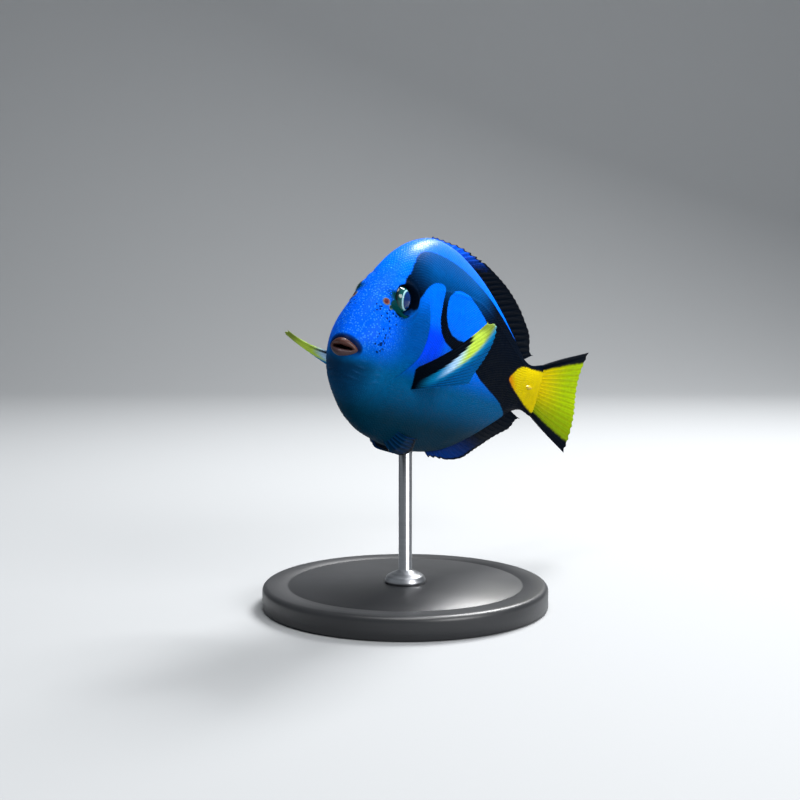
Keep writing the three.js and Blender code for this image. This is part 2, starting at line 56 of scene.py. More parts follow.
# %% [markdown]
# ## Sizes of the straight fish
# The body is stated at a few stations along its length: how high the back is, how low the belly,
# how wide the flank and how square the section. A photograph or a real fish gives these directly,
# and a smooth curve through each column gives every place between them.

# %% Sizes
MM = 0.001
STANDARD_LENGTH = 165
TOTAL_LENGTH = 1.21 * STANDARD_LENGTH
# Place, back, belly, half width, squareness, in shares of the standard length.
BODY_TABLE = (
    (0.0, 0.0225, -0.0235, 0.037, 2.0),
    (0.032, 0.083, -0.071, 0.0585, 2.05),
    (0.085, 0.158, -0.123, 0.063, 2.2),
    (0.16, 0.24, -0.159, 0.07, 2.25),
    (0.255, 0.289, -0.179, 0.076, 2.1),
    (0.37, 0.298, -0.19, 0.081, 2.1),
    (0.475, 0.284, -0.187, 0.08, 2.0),
    (0.59, 0.253, -0.171, 0.073, 2.0),
    (0.705, 0.208, -0.13, 0.059, 2.0),
    (0.815, 0.153, -0.075, 0.043, 2.0),
    (0.89, 0.113, -0.034, 0.03, 2.1),
    (0.945, 0.102, -0.021, 0.021, 2.2),
    (1.0, 0.112, -0.03, 0.011, 2.2),
)
WIDEST_LEVEL = 0.54
TAIL_CAP = 0.008 * STANDARD_LENGTH

MOUTH_HALF_WIDTH = 0.031 * STANDARD_LENGTH
MOUTH_HALF_HEIGHT = 0.0172 * STANDARD_LENGTH
MOUTH_SQUARENESS = 1.6
MOUTH_CORNER_BACK = 0.017 * STANDARD_LENGTH
CORNER_FADE = 0.1 * STANDARD_LENGTH
THROAT_END = 0.75 * MOUTH_HALF_WIDTH
# Place, width and height of the lips' loops, in shares of the mouth's half sizes.
LIP_TABLE = (
    (0.45, 0.5, 0.24),
    (0.02, 0.64, 0.22),
    (-0.25, 0.73, 0.34),
    (-0.35, 0.86, 0.66),
    (-0.27, 0.98, 0.96),
    (-0.12, 1.04, 1.12),
    (0.02, 0.99, 1.05),
)

BEND_START = 0.33 * STANDARD_LENGTH
BEND_ANGLE = math.radians(16)
BEND_RADIUS = (TOTAL_LENGTH - BEND_START) / BEND_ANGLE
NOSE_UP = math.radians(11)
BANK = math.radians(11)
BASE_RADIUS = 56
BASE_HEIGHT = 9
ROD_SHOWN = 52
ROD_PLACE = 0.43 * STANDARD_LENGTH


def mix(a, b, t):
    return a + (b - a) * t


def smooth(t):
    """An even step from 0 to 1 as t goes from 0 to 1."""
    s = np.clip(t, 0.0, 1.0)
    return s * s * (3 - 2 * s)


def unit(v):
    """Directions of length 1, with nothing divided by zero."""
    return v / np.maximum(1e-9, np.linalg.norm(v, axis=-1, keepdims=True))


def table_curve(rows, column):
    """A smooth function through one column of a table, keyed by the table's first column."""
    keys = np.array([row[0] for row in rows], float)
    values = np.array([row[column] for row in rows], float)
    widths = np.diff(keys)
    secants = np.diff(values) / widths
    weighted = secants[:-1] * widths[1:] + secants[1:] * widths[:-1]
    inner = weighted / (widths[1:] + widths[:-1])
    slopes = np.concatenate([secants[:1], inner, secants[-1:]])

    def curve(key):
        k = np.clip(key, keys[0], keys[-1])
        cell = np.clip(np.searchsorted(keys, k, side="right") - 1, 0, len(keys) - 2)
        t = (k - keys[cell]) / widths[cell]
        near = (2 * t**3 - 3 * t**2 + 1) * values[cell]
        far = (3 * t**2 - 2 * t**3) * values[cell + 1]
        turns = (t**3 - 2 * t**2 + t) * slopes[cell] + (t**3 - t**2) * slopes[cell + 1]
        return near + far + turns * widths[cell]

    return curve


back_share, belly_share, width_share, square_at = (table_curve(BODY_TABLE, c) for c in (1, 2, 3, 4))


def back_at(x):
    return STANDARD_LENGTH * back_share(x / STANDARD_LENGTH)


def belly_at(x):
    return STANDARD_LENGTH * belly_share(x / STANDARD_LENGTH)


def flank_at(x, z):
    """The skin's distance from the middle plane at a place and a level."""
    back, belly = back_at(x), belly_at(x)
    middle = mix(belly, back, WIDEST_LEVEL)
    reach = np.where(z > middle, back - middle, middle - belly)
    level = np.minimum(1, abs(z - middle) / reach)
    square = square_at(x / STANDARD_LENGTH)
    width = STANDARD_LENGTH * width_share(x / STANDARD_LENGTH)
    return width * (1 - level**square) ** (1 / square)


def flank_normal(x, z, side):
    """The skin's outward direction on one flank: side is 1 on the right and -1 on the left."""
    step = 1.0
    along_x = (flank_at(x + step, z) - flank_at(x - step, z)) / (2 * step)
    along_z = (flank_at(x, z + step) - flank_at(x, z - step)) / (2 * step)
    return unit(np.stack(np.broadcast_arrays(-along_x, side + 0 * along_x, -along_z), -1))


print("greatest depth", round(back_at(61.0) - belly_at(61.0), 1), "mm")

# %% [markdown]
# ## Bend and pose
# A swimming fish bends sideways along an arc. Turning every point about one upright axis keeps
# the fish's length and thickness, which a sideways shear would not. After that the whole fish is
# banked and pitched, and set on its rod.


# %% Bend and pose
def bend(p):
    """Bends straight points to the fish's left along the arc behind its head."""
    turn = np.maximum(0, (p[..., 0] - BEND_START) / BEND_RADIUS)
    reach = BEND_RADIUS + p[..., 1]
    behind = turn > 0
    x = np.where(behind, BEND_START + reach * np.sin(turn), p[..., 0])
    y = np.where(behind, reach * np.cos(turn) - BEND_RADIUS, p[..., 1])
    return np.stack([x, y, p[..., 2]], -1)


bank_turn = np.array(
    [
        [1, 0, 0],
        [0, math.cos(BANK), -math.sin(BANK)],
        [0, math.sin(BANK), math.cos(BANK)],
    ]
)
pitch_turn = np.array(
    [
        [math.cos(NOSE_UP), 0, math.sin(NOSE_UP)],
        [0, 1, 0],
        [-math.sin(NOSE_UP), 0, math.cos(NOSE_UP)],
    ]
)
pose_turn = pitch_turn @ bank_turn
perch = pose_turn @ bend(np.array([ROD_PLACE, 0, float(belly_at(ROD_PLACE))]))
pose_shift = np.array([0, 0, BASE_HEIGHT + ROD_SHOWN]) - perch


def posed(p):
    """Straight points, in millimetres, at their place on the stand, in metres."""
    return (bend(np.asarray(p, float)) @ pose_turn.T + pose_shift) * MM


print("snout at", posed(np.zeros(3)).round(4))

# %% [markdown]
# ## Mesh helpers
# Meshes are built from plain lists of points and faces, because a loft with hundreds of loops is
# fastest that way. Each helper ends with a check that the faces point outwards: the signed volume
# of a closed mesh is positive only then.


# %% Mesh helpers
def signed_volume(points, triangles):
    a, b, c = (points[triangles[:, k]] for k in range(3))
    return float(np.einsum("ij,ij->i", a, np.cross(b, c)).sum() / 6)


def fan_out(faces):
    """Splits faces of three or four corners into triangles."""
    return np.array([(f[0], f[k], f[k + 1]) for f in faces for k in range(1, len(f) - 1)])


def store(mesh, attributes):
    """Stores numbers or vectors on a mesh's points, each under its own name."""
    for label, values in attributes.items():
        kind = "FLOAT_VECTOR" if values.ndim == 2 else "FLOAT"
        field = "vector" if values.ndim == 2 else "value"
        numbers = mesh.attributes.new(label, kind, "POINT").data
        numbers.foreach_set(field, values.astype(np.float32).ravel())


def linked(name, data):
    """A new object in the scene for a mesh, a lamp or a camera."""
    made = bpy.data.objects.new(name, data)
    scene.collection.objects.link(made)
    return made


def shade_smooth(mesh):
    mesh.polygons.foreach_set("use_smooth", [True] * len(mesh.polygons))


def triangle_count(mesh):
    return sum(len(f.vertices) - 2 for f in mesh.polygons)


def add_piece(name, points, faces, attributes=None):
    """Makes a mesh object from points in metres, with numbers or vectors stored on its points."""
    if signed_volume(points, fan_out(faces)) < 0:
        faces = [tuple(reversed(f)) for f in faces]
    mesh = bpy.data.meshes.new(name)
    mesh.from_pydata(points.tolist(), [], faces)
    mesh.update()
    store(mesh, attributes or {})
    shade_smooth(mesh)
    return linked(name, mesh)


def loft_faces(rings, count, first, last):
    """Faces of a closed tube of rings, with one point closing each end."""
    faces = []
    for i in range(count):
        j = (i + 1) % count
        faces.append((first, i, j))
        for ring in range(rings - 1):
            a, b = ring * count, (ring + 1) * count
            faces.append((a + i, b + i, b + j, a + j))
        end = (rings - 1) * count
        faces.append((end + i, last, end + j))
    return faces


# %% [markdown]
# ## The fine body
# The skin is lofted like the solid, in loops from the throat round the lips and along the body to
# the tail, but far finer. The loops lie closest on the head, where the eyes, nostrils, lips and
# the edge of the gill cover need them.

# %% Loops of the body
RING_POINTS = 360
LIP_LOOPS = 26
HEAD_END = 42.0
HEAD_STEP = 0.35
BODY_STEP = 1.0

lip_keys = np.arange(len(LIP_TABLE))
lip_rows = [(key, *row) for key, row in zip(lip_keys, LIP_TABLE)]
lip_place, lip_width, lip_height = (table_curve(lip_rows, c) for c in (1, 2, 3))
lip_key = np.linspace(0, lip_keys[-1], LIP_LOOPS)
head_x = np.arange(HEAD_STEP * 1.5, HEAD_END, HEAD_STEP)
body_x = np.linspace(HEAD_END, STANDARD_LENGTH, int((STANDARD_LENGTH - HEAD_END) / BODY_STEP))
loop_x = np.concatenate([head_x, body_x])


def section_points(x, back, belly, middle, half_width, square, corner, angle):
    """The loops of the body, one row for each place and one column for each angle."""
    x, back, belly, middle, half_width, square, corner = (
        np.asarray(v, float)[:, None] for v in (x, back, belly, middle, half_width, square, corner)
    )
    across, rise = np.sin(angle)[None], np.cos(angle)[None]
    power = 2 / square
    reach = np.where(rise > 0, back - middle, middle - belly)
    z = middle + reach * np.sign(rise) * abs(rise) ** power
    y = half_width * np.sign(across) * abs(across) ** power
    return np.stack([x + corner * across**2 + 0 * z, y, z], -1)


loop_angle = np.arange(RING_POINTS) / RING_POINTS * math.tau
backs, bellies = back_at(loop_x), belly_at(loop_x)
body_loops = section_points(
    loop_x,
    backs,
    bellies,
    mix(bellies, backs, WIDEST_LEVEL),
    STANDARD_LENGTH * width_share(loop_x / STANDARD_LENGTH),
    square_at(loop_x / STANDARD_LENGTH),
    MOUTH_CORNER_BACK * (1 - smooth(loop_x / CORNER_FADE)),
    loop_angle,
)
lip_rise = lip_height(lip_key) * MOUTH_HALF_HEIGHT
lip_loops = section_points(
    lip_place(lip_key) * MOUTH_HALF_WIDTH,
    lip_rise,
    -lip_rise,
    np.zeros(LIP_LOOPS),
    lip_width(lip_key) * MOUTH_HALF_WIDTH,
    np.full(LIP_LOOPS, MOUTH_SQUARENESS),
    np.full(LIP_LOOPS, MOUTH_CORNER_BACK),
    loop_angle,
)
loops = np.concatenate([lip_loops, body_loops])
loop_count = len(loops)
print("loops", loop_count, "points", loop_count * RING_POINTS)


# %% [markdown]
# ## Relief of the head
# Relief is a small outward move of the skin, stated where it belongs: a socket and a fleshy rim for
# each eye, two nostrils before it, the free edge of the gill cover, folds under the chin and the
# lateral line. Moving real points gives these a shape from every side, which a bump in the finish
# would not.

# %% Relief
EYE_PLACE = (0.1245 * STANDARD_LENGTH, 0.1335 * STANDARD_LENGTH)
EYE_RADIUS = 0.0303 * STANDARD_LENGTH
EYE_DEPTH = 0.025 * STANDARD_LENGTH
EYE_PROUD = 0.0065 * STANDARD_LENGTH
EYE_AXIS = (0.1, 1, 0.12)
SOCKET_WALL = 0.7
SOCKET_SWELL = 0.55
SOCKET_CREASE = 0.2
SOCKET_REACH = 0.12 * EYE_DEPTH
# Place and level in shares of the standard length, then rim and pit in millimetres.
NOSTRILS = ((0.0705, 0.118, 1.2, 0.95), (0.0775, 0.1075, 0.75, 0.55))
NOSTRIL_RIM = 0.36
NOSTRIL_DEPTH = 1.1
GILL_EDGE_TABLE = (
    (-0.3, 0.03),
    (-0.16, 0.08),
    (-0.085, 0.106),
    (-0.037, 0.14),
    (-0.008, 0.18),
    (0.022, 0.215),
    (0.064, 0.23),
    (0.117, 0.224),
    (0.17, 0.206),
    (0.235, 0.185),
    (0.4, 0.16),
)
GILL_COVER_LIFT = 0.85
GILL_COVER_FADE = 0.06 * STANDARD_LENGTH
GILL_STEP = 0.7
GILL_GROOVE = 0.25
FOLD_LIFT = 0.12
LATERAL_LINE_LIFT = 0.16
SCALPEL_PLACE = (0.925 * STANDARD_LENGTH, 0.042 * STANDARD_LENGTH)
SCALPEL_LENGTH = 0.048 * STANDARD_LENGTH
gill_edge = table_curve(GILL_EDGE_TABLE, 1)


def about(p, centre, axis):
    """Distance of each point from an axis through a centre, and its height along that axis."""
    offset = p - centre
    height = offset @ axis
    return np.linalg.norm(offset - height[..., None] * axis, axis=-1), height


def on_flank(place, side):
    """A point of the flank and the skin's outward direction there."""
    x, z = place
    centre = np.array([x, side * float(flank_at(x, z)), z])
    return centre, flank_normal(np.float64(x), np.float64(z), side)


def eye_seat(side):
    """The middle of an eye's ball and the direction it looks in."""
    axis = unit(np.array([EYE_AXIS[0], side * EYE_AXIS[1], EYE_AXIS[2]]))
    return on_flank(EYE_PLACE, side)[0] + axis * (EYE_PROUD - EYE_DEPTH), axis


def nostril_seat(x, z, side):
    return on_flank((x * STANDARD_LENGTH, z * STANDARD_LENGTH), side)


def gill_relief(p):
    x, z = p[..., 0], p[..., 2] / STANDARD_LENGTH
    ahead = STANDARD_LENGTH * gill_edge(z) - x
    window = smooth((z + 0.12) / 0.08) * smooth((0.19 - z) / 0.1)
    cover = GILL_COVER_LIFT * np.exp(-((ahead / GILL_COVER_FADE) ** 2))
    groove = -GILL_GROOVE * np.exp(-(((ahead + 0.9) / 0.8) ** 2))
    return window * (cover * smooth(ahead / GILL_STEP) + groove)


def folds(p):
    """Creases of the throat, curved like the lower jaw: from -1 in a crease to 1 on its brow."""
    x, z = p[..., 0] / STANDARD_LENGTH, p[..., 2] / STANDARD_LENGTH
    window = smooth((0.0 - z) / 0.02) * smooth((z + 0.085) / 0.03) * smooth((0.11 - x) / 0.04)
    wave = np.sin(430 * (z + 1.6 * (x - 0.05) ** 2) + 2.2 * np.sin(75 * x + 40 * z))
    return window * smooth((x - 0.012) / 0.02) * wave * (0.6 + 0.4 * np.sin(90 * x))


def lateral_line_relief(p):
    x, z = p[..., 0] / STANDARD_LENGTH, p[..., 2] / STANDARD_LENGTH
    level = 0.175 + 0.02 * np.sin(math.pi * (x - 0.2) / 0.5) - 0.2 * np.maximum(0, x - 0.5) ** 1.15
    window = smooth((x - 0.24) / 0.05) * smooth((0.93 - x) / 0.08)
    return LATERAL_LINE_LIFT * window * np.exp(-(((z - level) / 0.0035) ** 2))


def sculpted(p, normals):
    """The body's points with every relief laid on."""
    flank = (abs(p[..., 1]) > 0.35 * flank_at(p[..., 0], p[..., 2])) & (p[..., 0] > 0)
    lift = (gill_relief(p) * flank + FOLD_LIFT * folds(p) + lateral_line_relief(p))[..., None]
    shaped = p + normals * lift
    for side in (-1, 1):
        near = (np.sign(p[..., 1]) == side) & (p[..., 0] > 4)
        centre, axis = eye_seat(side)
        radius, height = about(p, centre, axis)
        outer = EYE_RADIUS + SOCKET_WALL
        swell = SOCKET_SWELL * np.exp(-((np.maximum(0, radius - outer) / 1.1) ** 2))
        crease = -SOCKET_CREASE * np.exp(-(((radius - outer - 2.3) / 0.6) ** 2))
        hollow = smooth((outer - 0.1 - radius) / 0.8)
        sunk = np.minimum(0, -2.6 - height) * hollow
        move = np.where(near & (height > -6), (swell + crease) * (1 - hollow) + sunk, 0)
        shaped = shaped + move[..., None] * axis
        for x, z, rim_radius, pit in NOSTRILS:
            centre, axis = nostril_seat(x, z, side)
            radius, height = about(p, centre, axis)
            ring = NOSTRIL_RIM * np.exp(-(((radius - rim_radius) / 0.34) ** 2))
            hole = -NOSTRIL_DEPTH * np.exp(-((radius / (0.62 * pit)) ** 4))
            move = np.where(near & (abs(height) < 4), ring + hole, 0)
            shaped = shaped + move[..., None] * axis
    return shaped


def loop_normals(points):
    """Outward directions at the points of the loops."""
    around = np.roll(points, -1, axis=1) - np.roll(points, 1, axis=1)
    along = np.gradient(points, axis=0)
    return unit(np.cross(around, along))


normals = loop_normals(loops)
middle_loop = loops[loop_count // 2]
outward = np.einsum("ij,ij->i", normals[loop_count // 2], middle_loop - middle_loop.mean(0))
normals *= np.sign(outward.mean())
skin_rings = sculpted(loops, normals)
print("most relief", round(float(np.linalg.norm(skin_rings - loops, axis=-1).max()), 2), "mm")

# %% [markdown]
# ## Markings
# The black sign on each flank is the species' mark: a band from the eye to the tail, a loop that
# drops behind the gill cover and runs back, and a blue oval left free between them. The yellow of
# the tail runs forward as a wedge. Each shape is a short closed outline on the straight flank. What
# the skin stores is the distance to the outline, not the colour, so that the edge stays sharp
# between points of the mesh and can be made ragged or soft in the finish.

# %% Outlines of the markings
BLACK_SIGN = (
    (0.084, 0.112),
    (0.092, 0.136),
    (0.110, 0.158),
    (0.128, 0.180),
    (0.149, 0.206),
    (0.174, 0.240),
    (0.206, 0.257),
    (0.261, 0.261),
    (0.344, 0.257),
    (0.435, 0.246),
    (0.539, 0.227),
    (0.640, 0.200),
    (0.740, 0.168),
    (0.800, 0.148),
    (0.860, 0.140),
    (1.060, 0.150),
    (1.060, -0.070),
    (0.920, -0.064),
    (0.860, -0.058),
    (0.822, -0.042),
    (0.753, -0.018),
    (0.639, 0.004),
    (0.551, 0.024),
    (0.516, 0.044),
    (0.460, 0.054),
    (0.390, 0.061),
    (0.325, 0.074),
    (0.296, 0.090),
    (0.280, 0.110),
    (0.274, 0.130),
    (0.274, 0.155),
    (0.281, 0.181),
    (0.281, 0.196),
    (0.256, 0.198),
    (0.217, 0.190),
    (0.182, 0.162),
    (0.167, 0.138),
    (0.156, 0.117),
    (0.131, 0.097),
    (0.108, 0.092),
    (0.092, 0.098),
)
BLUE_OVAL = (
    (0.297, 0.159),
    (0.309, 0.184),
    (0.338, 0.197),
    (0.381, 0.201),
    (0.428, 0.196),
    (0.480, 0.181),
    (0.525, 0.164),
    (0.562, 0.146),
    (0.572, 0.130),
    (0.540, 0.112),
    (0.480, 0.098),
    (0.420, 0.091),
    (0.360, 0.092),
    (0.321, 0.109),
    (0.302, 0.133),
)
GREEN_CONE = (
    (0.072, 0.110),
    (0.090, 0.136),
    (0.116, 0.167),
    (0.130, 0.160),
    (0.140, 0.130),
    (0.130, 0.096),
    (0.118, 0.092),
    (0.092, 0.100),
)
YELLOW_WEDGE = (
    (0.762, 0.048),
    (0.795, 0.067),
    (0.830, 0.0845),
    (0.880, 0.0915),
    (0.950, 0.0900),
    (1.060, 0.1000),
    (1.060, -0.0350),
    (0.950, -0.0100),
    (0.888, 0.0065),
    (0.830, 0.0220),
    (0.790, 0.0340),
)


def rounded(outline):
    """Cuts the corners of a closed outline three times, each time finer."""
    p = np.array(outline, float)
    for _ in range(3):
        ahead = np.roll(p, -1, axis=0)
        p = np.stack([0.75 * p + 0.25 * ahead, 0.25 * p + 0.75 * ahead], 1).reshape(-1, 2)
    return p


# More than any distance on the fish, in shares of the standard length.
FAR = 9.0
TINY = 1e-12


def inside_distance(x, z, outline):
    """Distance to a closed outline in millimetres, positive inside it."""
    points = np.stack([x, z], -1).reshape(-1, 1, 2) / STANDARD_LENGTH
    start = rounded(outline)
    step = np.roll(start, -1, axis=0) - start
    best = np.full(len(points), FAR)
    crossings = np.zeros(len(points), int)
    for a, d in zip(start, step):
        offset = points[:, 0] - a
        t = np.clip(offset @ d / (d @ d), 0, 1)
        best = np.minimum(best, np.linalg.norm(offset - t[:, None] * d, axis=1))
        straddles = (a[1] > points[:, 0, 1]) != (a[1] + d[1] > points[:, 0, 1])
        level = (points[:, 0, 1] - a[1]) / (d[1] if abs(d[1]) > TINY else TINY)
        crossings += straddles & (points[:, 0, 0] < a[0] + level * d[0])
    sign = np.where(crossings % 2 == 1, 1, -1)
    return (STANDARD_LENGTH * best * sign).reshape(np.shape(x))


# The freckles lie along a line from the nostrils under the eye and down the cheek.
FRECKLE_LINE = (
    (0.058, 0.094),
    (0.076, 0.100),
    (0.100, 0.089),
    (0.076, 0.086),
    (0.072, 0.066),
    (0.062, 0.047),
    (0.052, 0.020),
)
FRECKLE_WIDTH = 0.014


def line_distance(x, z, line):
    """Distance to an open line, in shares of the standard length."""
    points = np.stack([x, z], -1) / STANDARD_LENGTH
    best = np.full(len(points), FAR)
    for a, b in zip(np.array(line)[:-1], np.array(line)[1:]):
        t = np.clip((points - a) @ (b - a) / ((b - a) @ (b - a)), 0, 1)
        best = np.minimum(best, np.linalg.norm(points - a - t[:, None] * (b - a), axis=1))
    return best


def marking_attributes(p):
    """What the finishes need to know about each point of the straight fish."""
    x, y, z = (p[..., k].ravel() for k in range(3))
    sign = np.minimum(inside_distance(x, z, BLACK_SIGN), -inside_distance(x, z, BLUE_OVAL))
    share_x, share_z = x / STANDARD_LENGTH, z / STANDARD_LENGTH
    return {
        "straight": np.stack([x, y, z], -1),
        "black": sign,
        "yellow": inside_distance(x, z, YELLOW_WEDGE),
        "cone": inside_distance(x, z, GREEN_CONE),
        "face": smooth((0.165 - share_x - 0.25 * np.maximum(0, -share_z)) / 0.1),
        "gill": STANDARD_LENGTH * gill_edge(share_z) - x,
        "chin": smooth((-0.006 - share_z) / 0.03) * smooth((0.085 - share_x) / 0.07),
        "fold": np.maximum(0, folds(p.reshape(-1, 3))) ** 3,
        "freckle": np.exp(-((line_distance(x, z, FRECKLE_LINE) / FRECKLE_WIDTH) ** 2)),
    }


def front_half(p):
    """1 before the middle of the eyes, and 0 behind it and above it."""
    ahead = smooth((EYE_PLACE[0] + 1.4 - p[..., 0]) / 2.2)
    return ahead * smooth((EYE_PLACE[1] + 3.0 - p[..., 2]) / 2.0)


print("corners of the sign after rounding", len(rounded(BLACK_SIGN)))

# %% [markdown]
# ## The skin
# One closed skin stands for the head, the trunk and the tail stock, so that no seam shows where
# the solids are parted. It also carries how near each point is to the lips, the nostrils and the
# sockets of the eyes, which have their own colours.

# %% Skin
flat_rings = skin_rings.reshape(-1, 3)
throat = np.array([[THROAT_END, 0, 0]])
tail_level = mix(*loops[-1][[RING_POINTS // 2, 0], 2], WIDEST_LEVEL)
tail_end = np.array([[STANDARD_LENGTH + TAIL_CAP, 0, tail_level]])
skin_points = np.concatenate([flat_rings, throat, tail_end])
first_end, last_end = len(flat_rings), len(flat_rings) + 1
skin_data = marking_attributes(skin_points)
ring_of = np.concatenate([np.repeat(np.arange(loop_count), RING_POINTS), [0, loop_count]])
skin_data["lip"] = 1 - smooth((ring_of - LIP_LOOPS + 6) / 5)
skin_data["lip_line"] = 1 - smooth((ring_of - LIP_LOOPS + 1) / 2)
skin_data["throat"] = 1 - smooth((ring_of - 2) / 6)
closeness = np.zeros(len(skin_points))
socket = np.zeros(len(skin_points))
for side in (-1, 1):
    for x, z, rim_radius, _ in NOSTRILS:
        radius, height = about(skin_points, *nostril_seat(x, z, side))
        near = np.where(abs(height) < 4, 2 - radius / rim_radius, 0)
        closeness = np.maximum(closeness, near)
    radius, height = about(skin_points, *eye_seat(side))
    wall = (1 - smooth((radius - EYE_RADIUS - SOCKET_WALL) / 2.2)) * front_half(skin_points)
    socket = np.maximum(socket, np.where(abs(height) < 6, wall, 0))
skin_data["nostril"] = closeness
skin_data["socket"] = socket
skin = add_piece(
    "skin",
    posed(skin_points),
    loft_faces(loop_count, RING_POINTS, first_end, last_end),
    skin_data,
)
print("skin triangles", triangle_count(skin.data))

# %% [markdown]
# ## Fins
# A fin is one thin membrane held by bony rays. In the fine model each ray is a rounded ridge of the
# membrane's own surface, and a soft ray forks half way out. One function makes the plate, and each
# fin only says where a point lies for a place across the rays and a share of their length.

# %% Fin plate
FIN_BETWEEN = 8
MEMBRANE = 0.3


def fin_plate(rays, rows, ray, root_size, tip_size, notch=0.02, spines=0):
    """Points, faces and finish data of a fin with its rays as ridges on both faces."""
    columns = (rays - 1) * FIN_BETWEEN + 1
    u = np.linspace(0, 1, columns)[:, None] + np.zeros((1, rows + 1))
    v = np.linspace(0, 1, rows + 1)[None] + np.zeros((columns, 1))
    place = u * (rays - 1)
    from_ray = abs(place - np.round(place))
    spiny = np.round(place) < spines
    fork = np.where(spiny, 0, 0.2 * smooth((v - 0.45) / 0.5))
    thin = np.where(spiny, 0.2, 0.17 - 0.07 * smooth((v - 0.4) / 0.5))
    ridge = np.exp(-(((from_ray - fork) / thin) ** 2))
    depth = np.where(place < spines - 0.5, 0.12, notch)
    reach = v * (1 - depth * (1 - np.exp(-((from_ray / 0.22) ** 2))))
    middle = ray(u, reach)
    across = np.gradient(middle, axis=0)
    along = np.gradient(middle, axis=1)
    normal = unit(np.cross(across, along))
    thickness = mix(MEMBRANE * (1 - 0.4 * v), mix(root_size, tip_size, v), ridge)[..., None]
    faces_of = [(middle + sign * normal * thickness / 2).reshape(-1, 3) for sign in (1, -1)]
    count = columns * (rows + 1)
    front = np.arange(count).reshape(columns, rows + 1)
    quads = np.stack([front[:-1, :-1], front[1:, :-1], front[1:, 1:], front[:-1, 1:]], -1)
    quads = quads.reshape(-1, 4)
    rim = np.concatenate([front[:, 0], front[-1, 1:], front[-2::-1, -1], front[0, -2:0:-1]])
    ahead = np.roll(rim, -1)
    walls = np.stack([rim, rim + count, ahead + count, ahead], -1)
    faces = np.concatenate([quads, (quads + count)[:, ::-1], walls])
    data = np.stack([u, v, ridge], -1).reshape(-1, 3)
    return np.concatenate(faces_of), [tuple(f) for f in faces.tolist()], np.tile(data, (2, 1))


def add_fin(name, **sizes):
    points, faces, data = fin_plate(**sizes)
    extra = {"fin": data, "straight": points}
    piece = add_piece(name, posed(points), faces, extra)
    print(name, "triangles", 2 * len(faces))
    return piece


# %% [markdown]
# The fins of the back and the belly stand on the body's edge and lean towards the tail. They grow
# from under the skin, so that no gap shows at their roots.


# %% Fins of the back and belly
def edge_ray(side, start, end, length, raised, sway):
    """Where a point of a back or belly fin lies."""
    edge = back_at if side > 0 else belly_at
    sunk, step = 2.2, 2.0

    def ray(u, v):
        x = mix(start, end, u)
        slope = (edge(x + step) - edge(x - step)) / (2 * step)
        size = np.sqrt(1 + slope**2)
        angle = raised(u) * (1 - 0.16 * v)
        out = STANDARD_LENGTH * length(u) * v
        away = (out * np.sin(angle) - sunk * (1 - v)) * side
        along = out * np.cos(angle)
        y = sway * v * v * np.sin(2.2 * math.pi * u + 0.6)
        place = x + (along - away * slope) / size
        return np.stack([place, y, edge(x) + (away + along * slope) / size], -1)

    return ray


dorsal_fin = add_fin(
    "dorsal_fin_fine",
    rays=28,
    rows=26,
    spines=9,
    root_size=1.5,
    tip_size=0.5,
    ray=edge_ray(
        side=1,
        start=0.278 * STANDARD_LENGTH,
        end=0.885 * STANDARD_LENGTH,
        length=lambda u: mix(0.018, 0.115, smooth(u / 0.3)) * (1 - 0.4 * smooth((u - 0.8) / 0.2)),
        raised=lambda u: np.radians(mix(14, 40, smooth(u / 0.75))),
        sway=1.2,
    ),
)
anal_fin = add_fin(
    "anal_fin_fine",
    rays=21,
    rows=24,
    spines=3,
    root_size=1.5,
    tip_size=0.5,
    ray=edge_ray(
        side=-1,
        start=0.515 * STANDARD_LENGTH,
        end=0.885 * STANDARD_LENGTH,
        length=lambda u: mix(0.035, 0.105, smooth(u / 0.3)) * (1 - 0.4 * smooth((u - 0.78) / 0.22)),
        raised=lambda u: np.radians(mix(28, 36, u)),
        sway=-1,
    ),
)

# %% [markdown]
# The tail fin is a fan with a nearly straight rear edge. Its rays fork, and the outermost ones are
# the strongest.

# %% Tail fin
CAUDAL_ROOT = 0.982 * STANDARD_LENGTH
CAUDAL_LEVEL = 0.042 * STANDARD_LENGTH
CAUDAL_ROOT_HALF = 0.059 * STANDARD_LENGTH
CAUDAL_TIP_HALF = 0.146 * STANDARD_LENGTH
CAUDAL_HOLLOW = 0.004 * STANDARD_LENGTH


def caudal_ray(u, v):
    across = 1 - 2 * u
    spread = abs(across)
    tip = TOTAL_LENGTH - CAUDAL_HOLLOW * (1 - spread**2.2)
    flare = np.sign(across) * spread**1.1
    rise = mix(CAUDAL_ROOT_HALF * across, CAUDAL_TIP_HALF * flare, np.maximum(v, 0) ** 0.92)
    x = mix(CAUDAL_ROOT, tip, v)
    return np.stack([x, 1.5 * v * v * np.sin(3 * across), CAUDAL_LEVEL + rise], -1)


caudal_fin = add_fin(
    "caudal_fin_fine", rays=17, rows=44, root_size=2.0, tip_size=0.45, ray=caudal_ray
)

# %% [markdown]
# The paired fins fan out from short roots on the flanks. The left breast fin is at the top of its
# stroke and the right one is held level. The belly fins lie folded along the skin.

# %% Paired fins
PECTORAL_TOP = (0.231 * STANDARD_LENGTH, 0.004 * STANDARD_LENGTH)
PECTORAL_FOOT = (0.239 * STANDARD_LENGTH, -0.045 * STANDARD_LENGTH)
PECTORAL_LENGTH = 0.225 * STANDARD_LENGTH
PECTORAL_SUNK = 3.0
